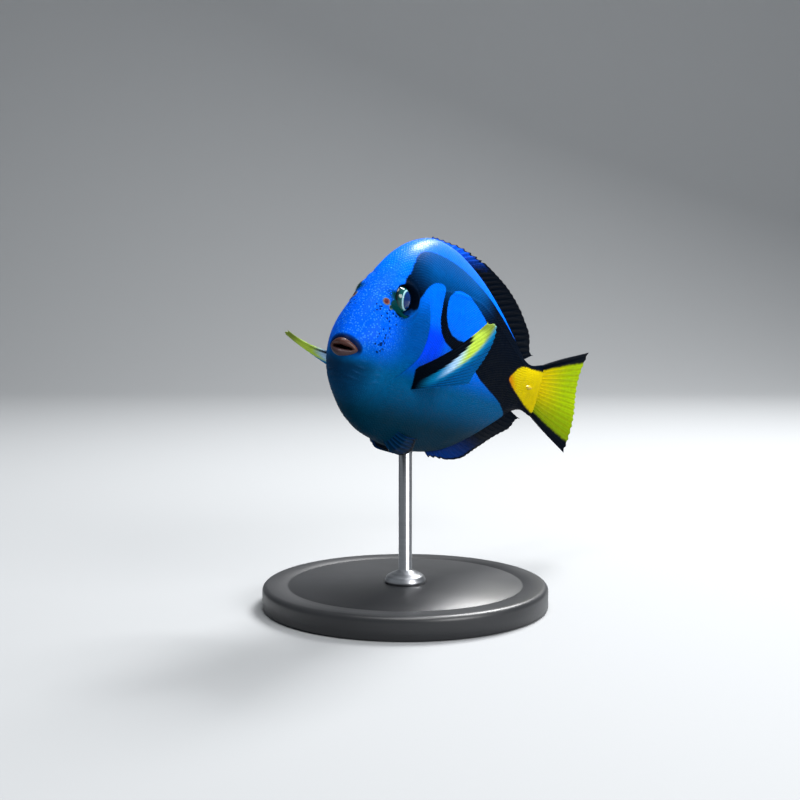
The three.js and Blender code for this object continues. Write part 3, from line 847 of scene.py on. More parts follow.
# Side, then the directions of the first and last ray, then how the rays sag.
PECTORAL_FINS = {
    "left": (-1, (0.6, -0.42, 0.69), (0.5, -0.8, 0.33), (-0.03, 0.05, 0)),
    "right": (1, (0, 0.99, 0.05), (0.66, 0.74, -0.06), (0, 0, 0.1)),
}
PELVIC_ROOT = 0.25 * STANDARD_LENGTH
PELVIC_LENGTH = 0.135 * STANDARD_LENGTH
PELVIC_LEVELS = (0.034 * STANDARD_LENGTH, 0.006 * STANDARD_LENGTH)
PELVIC_SPREAD = 0.012 * STANDARD_LENGTH
PELVIC_SUNK = 1.6
PELVIC_PROUD = 2.0


def pectoral_ray(side, first, last, curl):
    first, last, curl = (np.array(v, float) for v in (first, last, curl))

    def ray(u, v):
        x = mix(PECTORAL_TOP[0], PECTORAL_FOOT[0], u)
        z = mix(PECTORAL_TOP[1], PECTORAL_FOOT[1], u)
        direction = unit(first + (last - first) * u[..., None])
        length = PECTORAL_LENGTH * (0.9 + 0.1 * smooth(u / 0.12))
        length = length * (1 - 0.36 * smooth(u) - 0.06 * u)
        root = np.stack([x, side * flank_at(x, z), z], -1)
        sag = (4 * length * v * (v - 1))[..., None] * curl
        return root + direction * mix(-PECTORAL_SUNK, length, v)[..., None] + sag

    return ray


def pelvic_ray(side):
    def ray(u, v):
        reach = PELVIC_LENGTH * mix(0.72, 1, smooth(u / 0.8)) * v
        x = PELVIC_ROOT + PELVIC_SPREAD * (1 - u) + reach
        z = belly_at(x) + mix(*PELVIC_LEVELS, u) + 0.2 * PELVIC_LEVELS[0] * v * (1 - 2 * u)
        out = mix(-PELVIC_SUNK, PELVIC_PROUD, smooth(v / 0.5))[..., None]
        return np.stack([x, side * flank_at(x, z), z], -1) + flank_normal(x, z, side) * out

    return ray


pectoral_fins, pelvic_fins = {}, {}
for label, (side, first, last, curl) in PECTORAL_FINS.items():
    pectoral_fins[label] = add_fin(
        f"pectoral_fin_{label}_fine",
        rays=15,
        rows=40,
        root_size=1.5,
        tip_size=0.42,
        notch=0.015,
        ray=pectoral_ray(side, first, last, curl),
    )
    pelvic_fins[label] = add_fin(
        f"pelvic_fin_{label}_fine",
        rays=6,
        rows=24,
        spines=1,
        root_size=1.3,
        tip_size=0.5,
        ray=pelvic_ray(side),
    )

# %% [markdown]
# ## Eyes and tail blades
# A fish's eye is a flattened ball under a clear, wet skin, held by a raised ring of skin. The lens
# fills the pupil and stands a little proud of the iris. Ball and ring are both turned about the
# direction in which the eye looks, which is easier to get round than any relief of the skin.

# %% Eyes
EYE_RINGS = 56
EYE_SIDES = 96
PUPIL_SHARE = 0.66
LENS_RISE = 0.3
SOCKET_FIT = 0.12
SOCKET_ROOT = -3.2
WALL_STEPS = 14
ARC_STEPS = 9


def turned_loops(side, radius, height):
    """Loops about an eye's axis, one for each radius and height above the ball's middle."""
    centre, axis = eye_seat(side)
    forward = unit(np.cross(axis, [0, 0, 1.0]))
    upward = np.cross(forward, axis)
    turn = np.arange(EYE_SIDES)[:, None] / EYE_SIDES * math.tau
    spoke = np.cos(turn) * forward + np.sin(turn) * upward
    return centre + np.multiply.outer(height, axis)[:, None] + radius[:, None, None] * spoke


def eye_profile():
    """Radius and height from the lens round to the back, and the radius as a share of the ball's."""
    fall = np.linspace(0.012, 0.985, EYE_RINGS) * math.pi
    share = np.sin(fall)
    lens = np.sqrt(np.clip(1 - (share / PUPIL_SHARE) ** 2, 0, 1)) - 1
    height = EYE_DEPTH * np.cos(fall) + LENS_RISE * lens * smooth(np.cos(fall) / 0.5)
    return EYE_RADIUS * share, height, share


def socket_profile():
    """Radius and height round the section of the raised ring, from its root up, over and down."""
    top = SOCKET_REACH - 0.25

    def ball(grown, height):
        return (EYE_RADIUS + grown) * np.sqrt(1 - (height / (EYE_DEPTH + grown)) ** 2)

    rise = np.linspace(SOCKET_ROOT, top, WALL_STEPS)
    outer, inner = ball(SOCKET_WALL, rise), ball(SOCKET_FIT, rise)
    middle, half = (outer[-1] + inner[-1]) / 2, (outer[-1] - inner[-1]) / 2
    over = np.linspace(0, math.pi, ARC_STEPS)[1:-1]
    radius = np.concatenate([outer, middle + half * np.cos(over), inner[::-1]])
    height = np.concatenate([rise, top + 0.7 * half * np.sin(over), rise[::-1]])
    return radius, height


def closed_loops(rings, count):
    """Faces of a ring-shaped surface whose last loop joins its first."""
    at = np.arange(rings * count).reshape(rings, count)
    ahead, beside = np.roll(at, -1, axis=0), np.roll(at, -1, axis=1)
    both = np.roll(ahead, -1, axis=1)
    return [tuple(f) for f in np.stack([at, ahead, both, beside], -1).reshape(-1, 4).tolist()]


eyes, sockets = {}, {}
eye_radius, eye_height, eye_share = eye_profile()
socket_radius, socket_height = socket_profile()
for label, side in (("left", -1), ("right", 1)):
    centre, axis = eye_seat(side)
    ends = [centre + axis * (eye_height[0] + 0.01), centre - axis * (EYE_DEPTH + 0.01)]
    points = turned_loops(side, eye_radius, eye_height).reshape(-1, 3)
    points = np.concatenate([points, ends])
    share = np.concatenate([np.repeat(eye_share, EYE_SIDES), [0, 0]])
    last = len(points) - 1
    faces = loft_faces(EYE_RINGS, EYE_SIDES, last - 1, last)
    eyes[label] = add_piece(f"eye_{label}_fine", posed(points), faces, {"eye": share})
    points = turned_loops(side, socket_radius, socket_height).reshape(-1, 3)
    faces = closed_loops(len(socket_radius), EYE_SIDES)
    data = marking_attributes(points)
    data["socket"] = front_half(points)
    sockets[label] = add_piece(f"eye_socket_{label}", posed(points), faces, data)
print("eye points", len(eyes["left"].data.vertices), "socket", len(points))

# %% [markdown]
# A surgeonfish carries one folding blade on each side of the tail stock. It is pale, keen and lies
# in its groove, pointing forward.

# %% Tail blades
SCALPEL_HEIGHT = 1.9
SCALPEL_PROUD = 1.3
SCALPEL_RINGS = 30
SCALPEL_SIDES = 20

blades = {}
for label, side in (("left", -1), ("right", 1)):
    share = (np.arange(SCALPEL_RINGS) + 0.5)[:, None] / SCALPEL_RINGS
    turn = (np.arange(SCALPEL_SIDES) / SCALPEL_SIDES * math.tau)[None]
    size = np.sin(math.pi * share**1.5) ** 0.8
    x = SCALPEL_PLACE[0] - SCALPEL_LENGTH * (share - 0.5) + 0 * turn
    lie = flank_at(x, SCALPEL_PLACE[1])
    y = side * (lie + size * SCALPEL_PROUD * np.cos(turn))
    keen = np.sin(turn) * (1 - 0.35 * np.cos(turn) ** 2)
    z = SCALPEL_PLACE[1] + 0.5 * size * SCALPEL_HEIGHT * keen
    points = np.stack([x, y, z + 0 * x], -1).reshape(-1, 3)
    tips = [
        [
            SCALPEL_PLACE[0] + sign * SCALPEL_LENGTH / 2,
            side * float(flank_at(SCALPEL_PLACE[0], SCALPEL_PLACE[1]) + 0.2),
            SCALPEL_PLACE[1],
        ]
        for sign in (1, -1)
    ]
    points = np.concatenate([points, tips])
    count = len(points)
    faces = loft_faces(SCALPEL_RINGS, SCALPEL_SIDES, count - 2, count - 1)
    blades[label] = add_piece(
        f"caudal_spine_{label}_fine", posed(points), faces, {"straight": points}
    )
print("blades", len(blades))

# %% [markdown]
# ## Finishes
# Every finish is a small node tree. Two helpers keep the trees short: one adds a node and fills its
# inputs, and one mixes two colours by a mask. Colours are written as a painter would name them, in
# display values, and turned into the linear light that the shader needs.


# %% Node helpers
def paint(red, green, blue):
    """A display colour from 0 to 255 as linear light."""
    shares = [c / 255 for c in (red, green, blue)]
    return (*(c / 12.92 if c < 0.04 else ((c + 0.055) / 1.055) ** 2.4 for c in shares), 1)


def new_finish(name):
    material = bpy.data.materials.new(name)
    material.use_nodes = True
    tree = material.node_tree
    return material, tree, tree.nodes["Principled BSDF"]


def fill(tree, socket, value):
    if isinstance(value, bpy.types.NodeSocket):
        tree.links.new(value, socket)
    else:
        socket.default_value = value


def add_node(tree, kind, inputs=(), **settings):
    made = tree.nodes.new(kind)
    for key, value in settings.items():
        setattr(made, key, value)
    for key, value in dict(inputs).items():
        fill(tree, made.inputs[key], value)
    return made


def number(tree, operation, a, b=0.0, c=0.0):
    return add_node(tree, "ShaderNodeMath", {0: a, 1: b, 2: c}, operation=operation).outputs[0]


def times(tree, product, *others):
    """Several masks or shares multiplied together."""
    for other in others:
        product = number(tree, "MULTIPLY", product, other)
    return product


def step_between(tree, value, low, high, start=0.0, end=1.0):
    """A soft step of a value between two limits."""
    inputs = {0: value, 1: low, 2: high, 3: start, 4: end}
    return add_node(
        tree, "ShaderNodeMapRange", inputs, interpolation_type="SMOOTHSTEP"
    ).outputs[0]


def layer(tree, mask, under, over, kind="MIX"):
    """One colour laid over another where the mask is 1."""
    inputs = {0: mask, 6: under, 7: over}
    return add_node(
        tree, "ShaderNodeMix", inputs, data_type="RGBA", blend_type=kind
    ).outputs[2]


def cover(tree, shader, color, roughness, normal):
    """Joins a finish's colour, roughness and relief to its shader."""
    fill(tree, shader.inputs["Base Color"], color)
    fill(tree, shader.inputs["Roughness"], roughness)
    fill(tree, shader.inputs["Normal"], normal)


def stored(tree, name, field="Fac"):
    return add_node(tree, "ShaderNodeAttribute", attribute_name=name).outputs[field]


def split(tree, vector):
    return add_node(tree, "ShaderNodeSeparateXYZ", {0: vector}).outputs


def bump(tree, height, strength, distance):
    return add_node(
        tree,
        "ShaderNodeBump",
        {"Strength": strength, "Distance": distance, "Height": height},
    ).outputs[0]


print("node helpers ready")

# %% [markdown]
# Fine grain is shared by the skin, the scales and the fins: rounded cells of a stated size with a
# soft random tone. It is a node group, built once, which puts out only a height and a tone.

# %% Grain group
grain = bpy.data.node_groups.new("fine_grain", "ShaderNodeTree")
for label, kind, side, value in (
    ("Place", "NodeSocketVector", "INPUT", None),
    ("Cells per mm", "NodeSocketFloat", "INPUT", 1.0),
    ("Height", "NodeSocketFloat", "OUTPUT", None),
    ("Tone", "NodeSocketFloat", "OUTPUT", None),
    ("Dots", "NodeSocketFloat", "OUTPUT", None),
):
    socket = grain.interface.new_socket(name=label, in_out=side, socket_type=kind)
    if value is not None:
        socket.default_value = value
grain_in = grain.nodes.new("NodeGroupInput").outputs
grain_out = grain.nodes.new("NodeGroupOutput").inputs
cells = add_node(grain, "ShaderNodeTexVoronoi", {"Vector": grain_in[0], "Scale": grain_in[1]})
fine = times(grain, grain_in[1], 0.35)
patches = add_node(
    grain, "ShaderNodeTexNoise", {"Vector": grain_in[0], "Scale": fine, "Detail": 3.0}
)
grain.links.new(number(grain, "SUBTRACT", 1.0, cells.outputs["Distance"]), grain_out["Height"])
grain.links.new(patches.outputs["Fac"], grain_out["Tone"])
grain.links.new(step_between(grain, cells.outputs["Distance"], 0.42, 0.18), grain_out["Dots"])
print("grain outputs", [s.name for s in grain_out][:3])


def grain_of(tree, place, cells_per_mm):
    made = add_node(tree, "ShaderNodeGroup", node_tree=grain)
    fill(tree, made.inputs["Place"], place)
    made.inputs["Cells per mm"].default_value = cells_per_mm
    return made.outputs


# %% [markdown]
# ## The skin's finish
# Royal blue lies over the whole fish, brightest on the face. The cheek before the gill cover is
# painted darker as shade, and the underside fades to a dark teal below, which is painted shade. The
# navy of the chin under the mouth is partly the fish's own colour and partly painted shade. A dark
# line of painted shade follows the edge of the gill cover, and light lines on the brows of the
# throat's folds are painted highlights. Over it go the black sign, with a painted blue sheen on its
# upper part behind the head, the yellow wedge, the brown lips under a navy line, the reddish nostrils
# and the dark green cone before each eye, each by its stored distance. The inside of the mouth is
# painted near black, as painted shade. The face has light blue grains on its blue and black freckles
# below the nostrils. A coat of gloss lies on the nape.
# The skin's own reflection is kept low, so that black stays black at the rim, where a surface seen
# at a slant reflects most. One function makes the finish of the skin and of the scales, so both
# carry the same markings.

# %% Skin finish
ROYAL_BLUE = paint(0, 114, 255)
FACE_BLUE = paint(0, 104, 255)
FACE_DEEP = paint(0, 82, 228)
DEEP_BLUE = paint(0, 98, 240)
CHEEK_SHADE_BLUE = paint(0, 80, 164)
GILL_BLUE = paint(0, 70, 255)
GILL_SHADE = paint(0, 40, 110)
PALE_GRAIN = paint(70, 172, 255)
BELLY_SHADE_BLUE = paint(0, 84, 134)
UNDERSIDE_SHADE_TEAL = paint(2, 44, 64)
CHIN_NAVY_AND_SHADE = paint(2, 46, 80)
FOLD_HIGHLIGHT_BLUE = paint(40, 96, 150)
SIGN_BLACK = paint(2, 9, 22)
SIGN_SHEEN = paint(0, 78, 150)
TAIL_YELLOW = paint(208, 186, 6)
WEDGE_ORANGE = paint(204, 116, 6)
LIP_BROWN = paint(82, 52, 46)
LIP_PALE = paint(66, 50, 54)
LIP_LINE = paint(4, 20, 54)
MOUTH_DARK = paint(30, 10, 10)
NOSTRIL_RIM_PALE = paint(84, 112, 128)
NOSTRIL_ORANGE = paint(132, 72, 72)
NOSTRIL_OLIVE = paint(60, 78, 66)
EYE_GREEN = paint(0, 66, 66)
EYE_DEEP = paint(0, 40, 48)


def grey(tree, value):
    return add_node(tree, "ShaderNodeCombineXYZ", {0: value, 1: value, 2: value}).outputs[0]


def skin_finish(name, lightness, bumps):
    material, tree, shader = new_finish(name)
    place = stored(tree, "straight", "Vector")
    x, z = split(tree, place)[0], split(tree, place)[2]
    small = grain_of(tree, place, 1.15)
    large = grain_of(tree, place, 0.16)
    face, gill = stored(tree, "face"), stored(tree, "gill")
    blue = layer(tree, times(tree, large["Tone"], 0.7), ROYAL_BLUE, DEEP_BLUE)
    # Painted shade: the cheek before the gill cover's edge and low on the head is a darker blue.
    cheek = times(tree, step_between(tree, gill, -0.6, 0.4), step_between(tree, z, 31.0, 16.0))
    blue = layer(tree, cheek, blue, CHEEK_SHADE_BLUE)
    blue = layer(tree, face, blue, layer(tree, small["Tone"], FACE_BLUE, FACE_DEEP))
    behind = times(
        tree,
        step_between(tree, gill, 0.0, -1.6),
        step_between(tree, x, 58.0, 48.0),
        step_between(tree, z, 19.0, 13.0),
    )
    blue = layer(tree, behind, blue, GILL_BLUE)
    # Painted shade: the underside turns darker towards the bottom, first a dull blue, then a dark
    # teal.
    blue = layer(tree, step_between(tree, z, 8.0, -6.0), blue, BELLY_SHADE_BLUE)
    blue = layer(tree, step_between(tree, z, -5.0, -22.0), blue, UNDERSIDE_SHADE_TEAL)
    # The chin under the mouth is navy: partly the fish's own darker colour and partly painted shade.
    blue = layer(tree, stored(tree, "chin"), blue, CHIN_NAVY_AND_SHADE)
    # Painted shade: a dark line follows the free edge of the gill cover.
    gill_edge_shade = times(
        tree,
        step_between(tree, gill, -2.2, -0.3),
        step_between(tree, gill, 0.9, 0.0),
        step_between(tree, z, 22.0, 12.0),
        step_between(tree, z, -9.0, -4.0),
    )
    blue = layer(tree, times(tree, gill_edge_shade, 0.8), blue, GILL_SHADE)
    # Painted highlight: lighter lines on the brows of the throat's folds.
    blue = layer(tree, times(tree, stored(tree, "fold"), 0.7), blue, FOLD_HIGHLIGHT_BLUE)
    grains = times(tree, small["Dots"], face, step_between(tree, z, -3.0, 6.0))
    blue = layer(tree, times(tree, grains, 0.45), blue, PALE_GRAIN)
    ragged = number(tree, "MULTIPLY_ADD", small["Tone"], 0.9, -0.45)
    edge = number(tree, "ADD", stored(tree, "black"), ragged)
    sign = step_between(tree, edge, -0.3, 0.35)
    sheen = times(
        tree,
        step_between(tree, x, 104.0, 78.0),
        step_between(tree, z, 24.0, 38.0),
        step_between(tree, x, 17.0, 42.0),
    )
    black = layer(tree, sheen, SIGN_BLACK, SIGN_SHEEN)
    color = layer(tree, sign, blue, black)
    spots = grain_of(tree, place, 0.72)
    freckles = times(tree, stored(tree, "freckle"), spots["Dots"])
    freckles = step_between(tree, freckles, 0.15, 0.4)
    color = layer(tree, times(tree, freckles, 0.85), color, SIGN_BLACK)
    yellow = step_between(tree, number(tree, "ADD", stored(tree, "yellow"), ragged), -0.5, 0.5)
    warm = number(tree, "MULTIPLY_ADD", z, 1.1, x)
    gold = layer(tree, step_between(tree, warm, 146.0, 134.0), TAIL_YELLOW, WEDGE_ORANGE)
    color = layer(tree, yellow, color, gold)
    crest = layer(tree, step_between(tree, z, 1.0, -1.5), LIP_BROWN, LIP_PALE)
    # The inside of the mouth is painted near black, as painted shade.
    lips = layer(tree, stored(tree, "throat"), crest, MOUTH_DARK)
    line = step_between(tree, stored(tree, "lip_line"), 0.1, 0.8)
    line = times(tree, line, step_between(tree, z, -3.0, 0.5))
    color = layer(tree, line, color, LIP_LINE)
    color = layer(tree, step_between(tree, stored(tree, "lip"), 0.35, 0.6), color, lips)
    nostril = stored(tree, "nostril")
    color = layer(tree, step_between(tree, nostril, 0.62, 0.85), color, NOSTRIL_RIM_PALE)
    disc = layer(tree, step_between(tree, z, 18.6, 18.2), NOSTRIL_ORANGE, NOSTRIL_OLIVE)
    color = layer(tree, step_between(tree, nostril, 0.9, 1.15), color, disc)
    cone = step_between(tree, number(tree, "ADD", stored(tree, "cone"), ragged), -0.1, 0.5)
    cone = number(tree, "MAXIMUM", cone, stored(tree, "socket"))
    color = layer(tree, cone, color, layer(tree, small["Tone"], EYE_GREEN, EYE_DEEP))
    tone = number(tree, "MULTIPLY_ADD", small["Tone"], 0.4, lightness)
    color = layer(tree, 1.0, color, grey(tree, tone), "MULTIPLY")
    rough = number(tree, "MULTIPLY_ADD", small["Tone"], 0.25, 0.34)
    relief = number(tree, "MULTIPLY_ADD", large["Height"], 0.4, small["Height"])
    cover(tree, shader, color, rough, bump(tree, relief, bumps, 0.0002))
    gloss = times(tree, step_between(tree, z, 34.0, 46.0), 0.6)
    gloss = number(tree, "MAXIMUM", gloss, times(tree, face, 0.03))
    wet = step_between(tree, stored(tree, "lip"), 0.3, 0.6, 0.0, 0.4)
    fill(tree, shader.inputs["Coat Weight"], number(tree, "MAXIMUM", gloss, wet))
    shader.inputs["Coat Roughness"].default_value = 0.34
    shader.inputs["Specular IOR Level"].default_value = 0.004
    return material


skin_paint = skin_finish("blue_tang_skin", 0.66, 0.3)
for piece in (skin, *sockets.values()):
    piece.data.materials.append(skin_paint)
print("skin finish nodes", len(skin_paint.node_tree.nodes))

# %% [markdown]
# ## Scales
# A surgeonfish has very small scales that feel like fine sandpaper. On the body they lie in rows,
# each one a low tile that stands up a little at its rear edge. On the face they turn into round
# grains. Thousands of like things on a surface are work for Geometry Nodes: a tree that sets one
# tile on each seed point, turned to the skin and to the tail, and then makes it real mesh.

# %% Tiles
SCALE_LENGTH = 1.02
ROW_STEP = 0.82
SCALE_SIZE = 1.06
GRAIN_SPACING = 0.8


def tile(name, outline, top, bottom):
    """A small closed tile: an outline of points, fanned to one point above and one below."""
    count = len(outline)
    points = np.array([*outline, top, bottom], float) * MM
    faces = [(i, (i + 1) % count, count) for i in range(count)]
    faces += [((i + 1) % count, i, count + 1) for i in range(count)]
    made = add_piece(name, points, faces, {"patch": points / MM})
    scene.collection.objects.unlink(made)
    return made


scale_tile = tile(
    "scale_tile",
    (
        (-0.55, 0, -0.1),
        (-0.3, 0.4, -0.06),
        (0.2, 0.48, -0.02),
        (0.6, 0, 0.02),
        (0.2, -0.48, -0.02),
        (-0.3, -0.4, -0.06),
    ),
    (0.1, 0, 0.025),
    (0, 0, -0.25),
)
grain_outline = [
    (0.36 * math.cos(k * math.tau / 5), 0.33 * math.sin(k * math.tau / 5), -0.05) for k in range(5)
]
grain_tile = tile("grain_tile", grain_outline, (0.04, 0, 0.1), (0, 0, -0.25))
print("tile faces", len(scale_tile.data.polygons), len(grain_tile.data.polygons))

# %% [markdown]
# The seed points are laid on the finished skin in staggered rows, evenly spaced along each loop. Each
# seed carries its markings, the skin's outward direction, the way to the tail and its place on the
# unrolled skin. The eyes, lips and nostrils are left free.


# %% Seeds
def lookup(values, ring, angle):
    """Values of the loops at fractional ring and angle numbers."""
    low_ring = np.clip(np.floor(ring).astype(int), 0, loop_count - 2)
    low_angle = np.floor(angle).astype(int) % RING_POINTS
    next_angle = (low_angle + 1) % RING_POINTS
    s = (ring - low_ring)[:, None]
    t = (angle - np.floor(angle))[:, None]
    near = mix(values[low_ring, low_angle], values[low_ring, next_angle], t)
    far = mix(values[low_ring + 1, low_angle], values[low_ring + 1, next_angle], t)
    return mix(near, far, s)


def row_of_seeds(ring, spacing, shift):
    """Evenly spaced angle numbers along one loop."""
    line = lookup(skin_rings, np.full(RING_POINTS + 1, ring), np.arange(RING_POINTS + 1.0))
    reach = np.concatenate([[0], np.cumsum(np.linalg.norm(np.diff(line, axis=0), axis=1))])
    count = max(8, int(reach[-1] / spacing))
    along = (np.arange(count) + shift) / count * reach[-1]
    return np.interp(along, reach, np.arange(RING_POINTS + 1.0))


skin_normals = loop_normals(skin_rings)
skin_normals *= np.sign(np.einsum("ijk,ijk->", skin_normals, normals))
ring_x = np.concatenate([np.full(LIP_LOOPS, -1.0), loop_x])
seed_rings, seed_angles = [], []
for row, x in enumerate(np.arange(4.0, STANDARD_LENGTH, ROW_STEP)):
    ring = float(np.interp(x, ring_x, np.arange(loop_count)))
    angles = row_of_seeds(ring, SCALE_LENGTH, 0.5 * (row % 2))
    seed_rings.append(np.full(len(angles), ring))
    seed_angles.append(angles)
seed_ring, seed_angle = np.concatenate(seed_rings), np.concatenate(seed_angles)
seeds = lookup(skin_rings, seed_ring, seed_angle)
seed_out = lookup(skin_normals, seed_ring, seed_angle)
print("scale seeds", len(seeds))


def turned(direction, at):
    """A straight direction at a straight point, as it points once the fish is posed."""
    return unit(posed(at + 0.1 * direction) - posed(at))


def seed_cloud(name, p, out, ring, angle):
    """A mesh of loose points that carries all that a scale takes from its root."""
    data = marking_attributes(p)
    data["out"] = turned(out, p)
    data["lie"] = turned(np.array([1.0, 0, 0]) + 0 * p, p)
    data["root"] = np.stack([angle / RING_POINTS, ring / loop_count, 0 * ring], -1)
    mesh = bpy.data.meshes.new(name)
    mesh.from_pydata(posed(p).tolist(), [], [])
    store(mesh, data)
    return linked(name, mesh)


def clear_of_features(p, eye_room, nostril_room, mouth_room):
    """True where a scale may grow: off the eyes, the nostrils and the lips."""
    keep = np.linalg.norm(p, axis=-1) > mouth_room
    for side in (-1, 1):
        radius, height = about(p, *eye_seat(side))
        keep &= (radius > EYE_RADIUS + eye_room) | (abs(height) > 8)
        for x, z, rim_radius, _ in NOSTRILS:
            radius, height = about(p, *nostril_seat(x, z, side))
            keep &= (radius > rim_radius + nostril_room) | (abs(height) > 5)
    return keep


# %% [markdown]
# The tree has named inputs for the tile, its size and the spread of sizes, and a fixed seed, so it
# gives the same scales each time. It ends in Realize Instances, which turns the copies into
# ordinary mesh, and Set Material.

# %% Scale tree
scale_tree = bpy.data.node_groups.new("scales_on_skin", "GeometryNodeTree")
scale_inputs = {}
for label, kind, value in (
    ("Seeds", "NodeSocketGeometry", None),
    ("Tile", "NodeSocketObject", None),
    ("Size", "NodeSocketFloat", 1.0),
    ("Spread", "NodeSocketFloat", 0.15),
    ("Seed", "NodeSocketInt", 7),
    ("Finish", "NodeSocketMaterial", None),
):
    socket = scale_tree.interface.new_socket(name=label, in_out="INPUT", socket_type=kind)
    if value is not None:
        socket.default_value = value
    scale_inputs[label] = socket.identifier
scale_tree.interface.new_socket(name="Scales", in_out="OUTPUT", socket_type="NodeSocketGeometry")
tree_in = scale_tree.nodes.new("NodeGroupInput").outputs
tree_out = scale_tree.nodes.new("NodeGroupOutput").inputs


def named_vector(tree, name):
    made = add_node(tree, "GeometryNodeInputNamedAttribute", data_type="FLOAT_VECTOR")
    made.inputs["Name"].default_value = name
    return made.outputs["Attribute"]


upright = add_node(
    scale_tree,
    "FunctionNodeAlignRotationToVector",
    {"Vector": named_vector(scale_tree, "out")},
    axis="Z",
)
facing = add_node(
    scale_tree,
    "FunctionNodeAlignRotationToVector",
    {"Rotation": upright.outputs[0], "Vector": named_vector(scale_tree, "lie")},
    axis="X",
    pivot_axis="Z",
)
low = number(scale_tree, "SUBTRACT", 1.0, tree_in["Spread"])
high = number(scale_tree, "ADD", 1.0, tree_in["Spread"])
spread = add_node(scale_tree, "FunctionNodeRandomValue", data_type="FLOAT")
fill(scale_tree, spread.inputs[2], low)
fill(scale_tree, spread.inputs[3], high)
fill(scale_tree, spread.inputs["Seed"], tree_in["Seed"])
size = times(scale_tree, spread.outputs[1], tree_in["Size"])
tile_info = add_node(scale_tree, "GeometryNodeObjectInfo", {"Object": tree_in["Tile"]})
placed = add_node(
    scale_tree,
    "GeometryNodeInstanceOnPoints",
    {
        "Points": tree_in["Seeds"],
        "Instance": tile_info.outputs["Geometry"],
        "Rotation": facing.outputs[0],
        "Scale": size,
    },
)
real = add_node(scale_tree, "GeometryNodeRealizeInstances", {0: placed.outputs[0]})
finished = add_node(
    scale_tree,
    "GeometryNodeSetMaterial",
    {"Geometry": real.outputs[0], "Material": tree_in["Finish"]},
)
scale_tree.links.new(finished.outputs[0], tree_out[0])
print("scale tree nodes", len(scale_tree.nodes))


def grow(cloud, name, settings):
    """Runs the scale tree on a cloud of seeds and returns the result as a plain mesh object."""
    modifier = cloud.modifiers.new("scales", "NODES")
    modifier.node_group = scale_tree
    for label, value in settings.items():
        modifier[scale_inputs[label]] = value
    evaluated = cloud.evaluated_get(bpy.context.evaluated_depsgraph_get())
    mesh = bpy.data.meshes.new_from_object(evaluated)
    cloud.modifiers.remove(modifier)
    bpy.data.objects.remove(cloud)
    mesh.name = name
    count = len(mesh.vertices)
    root, patch = np.zeros(count * 3, np.float32), np.zeros(count * 3, np.float32)
    mesh.attributes["root"].data.foreach_get("vector", root)
    mesh.attributes["patch"].data.foreach_get("vector", patch)
    unwrap = root.reshape(-1, 3)[:, :2] + PATCH_SIZE * patch.reshape(-1, 3)[:, :2]
    corners = np.zeros(len(mesh.loops), np.int32)
    mesh.loops.foreach_get("vertex_index", corners)
    map_layer = mesh.uv_layers.new(name="OFBake")
    map_layer.data.foreach_set("uv", unwrap[corners].ravel())
    shade_smooth(mesh)
    print(name, "triangles", triangle_count(mesh))
    return linked(name, mesh)


# %% [markdown]
# The body's scales are grown in two halves, so that neither mesh gets too heavy. They fade out
# into the round grains of the face. The grains' seeds start in rows as well, and each is then
# moved a little by chance, so that the face looks evenly but not regularly covered.

# %% Scales and grains
PATCH_SIZE = 0.003
RANDOM_SEED = 12
# Where the scales start, where the grains are sown and where they end, along the fish.
SCALES_START = 21
SOWN_FROM, SOWN_TO = 1.2, 30.0
GRAINS_END = 25
BORDER_WAVE = 3
# How far a grain may lie from its row and from its place in the row, in shares of the spacing.
ROW_SCATTER = 0.35
PLACE_SCATTER = 0.3


def border(p, place):
    """The wavy line across the flank at which scales or grains stop."""
    return place + BORDER_WAVE * np.sin(p[:, 2] / BORDER_WAVE)


scale_paint = skin_finish("blue_tang_scales", 0.8, 0.2)
grain_paint = skin_finish("blue_tang_face_grains", 0.86, 0.2)
on_body = (seeds[:, 0] > border(seeds, SCALES_START)) & clear_of_features(seeds, 2.2, 0.6, 9)
coat = []
for label, side in (("left", -1), ("right", 1)):
    pick = on_body & (np.sign(seeds[:, 1] + 1e-9) == side)
    cloud = seed_cloud(
        f"seeds_{label}", seeds[pick], seed_out[pick], seed_ring[pick], seed_angle[pick]
    )
    settings = {"Tile": scale_tile, "Size": SCALE_SIZE, "Spread": 0.12, "Finish": scale_paint}
    coat.append(grow(cloud, f"scales_{label}", settings))

chance = np.random.default_rng(RANDOM_SEED)
sown_rings, sown_angles = [], []
for x in np.arange(SOWN_FROM, SOWN_TO, GRAIN_SPACING):
    ring = float(np.interp(x, ring_x, np.arange(loop_count)))
    angles = row_of_seeds(ring, GRAIN_SPACING, chance.random())
    ring_step = GRAIN_SPACING / HEAD_STEP
    sown_rings.append(ring + ring_step * chance.uniform(-ROW_SCATTER, ROW_SCATTER, len(angles)))
    angle_step = RING_POINTS / len(angles)
    shift = angle_step * chance.uniform(-PLACE_SCATTER, PLACE_SCATTER, len(angles))
    sown_angles.append((angles + shift) % RING_POINTS)
sown_ring, sown_angle = np.concatenate(sown_rings), np.concatenate(sown_angles)
sown = lookup(skin_rings, sown_ring, sown_angle)
sown_out = lookup(skin_normals, sown_ring, sown_angle)
keep = (sown[:, 0] < border(sown, GRAINS_END)) & clear_of_features(sown, 1.3, 0.5, 7.5)
cloud = seed_cloud("seeds_face", sown[keep], sown_out[keep], sown_ring[keep], sown_angle[keep])
settings = {"Tile": grain_tile, "Size": 1.0, "Spread": 0.3, "Finish": grain_paint}
coat.append(grow(cloud, "face_grains", settings))

# %% [markdown]
# ## Fin finishes
# Fins are coloured by two numbers that the plate stores: the place across the rays and the share of
# the length out from the root. The rays are a little lighter than the membrane between them.

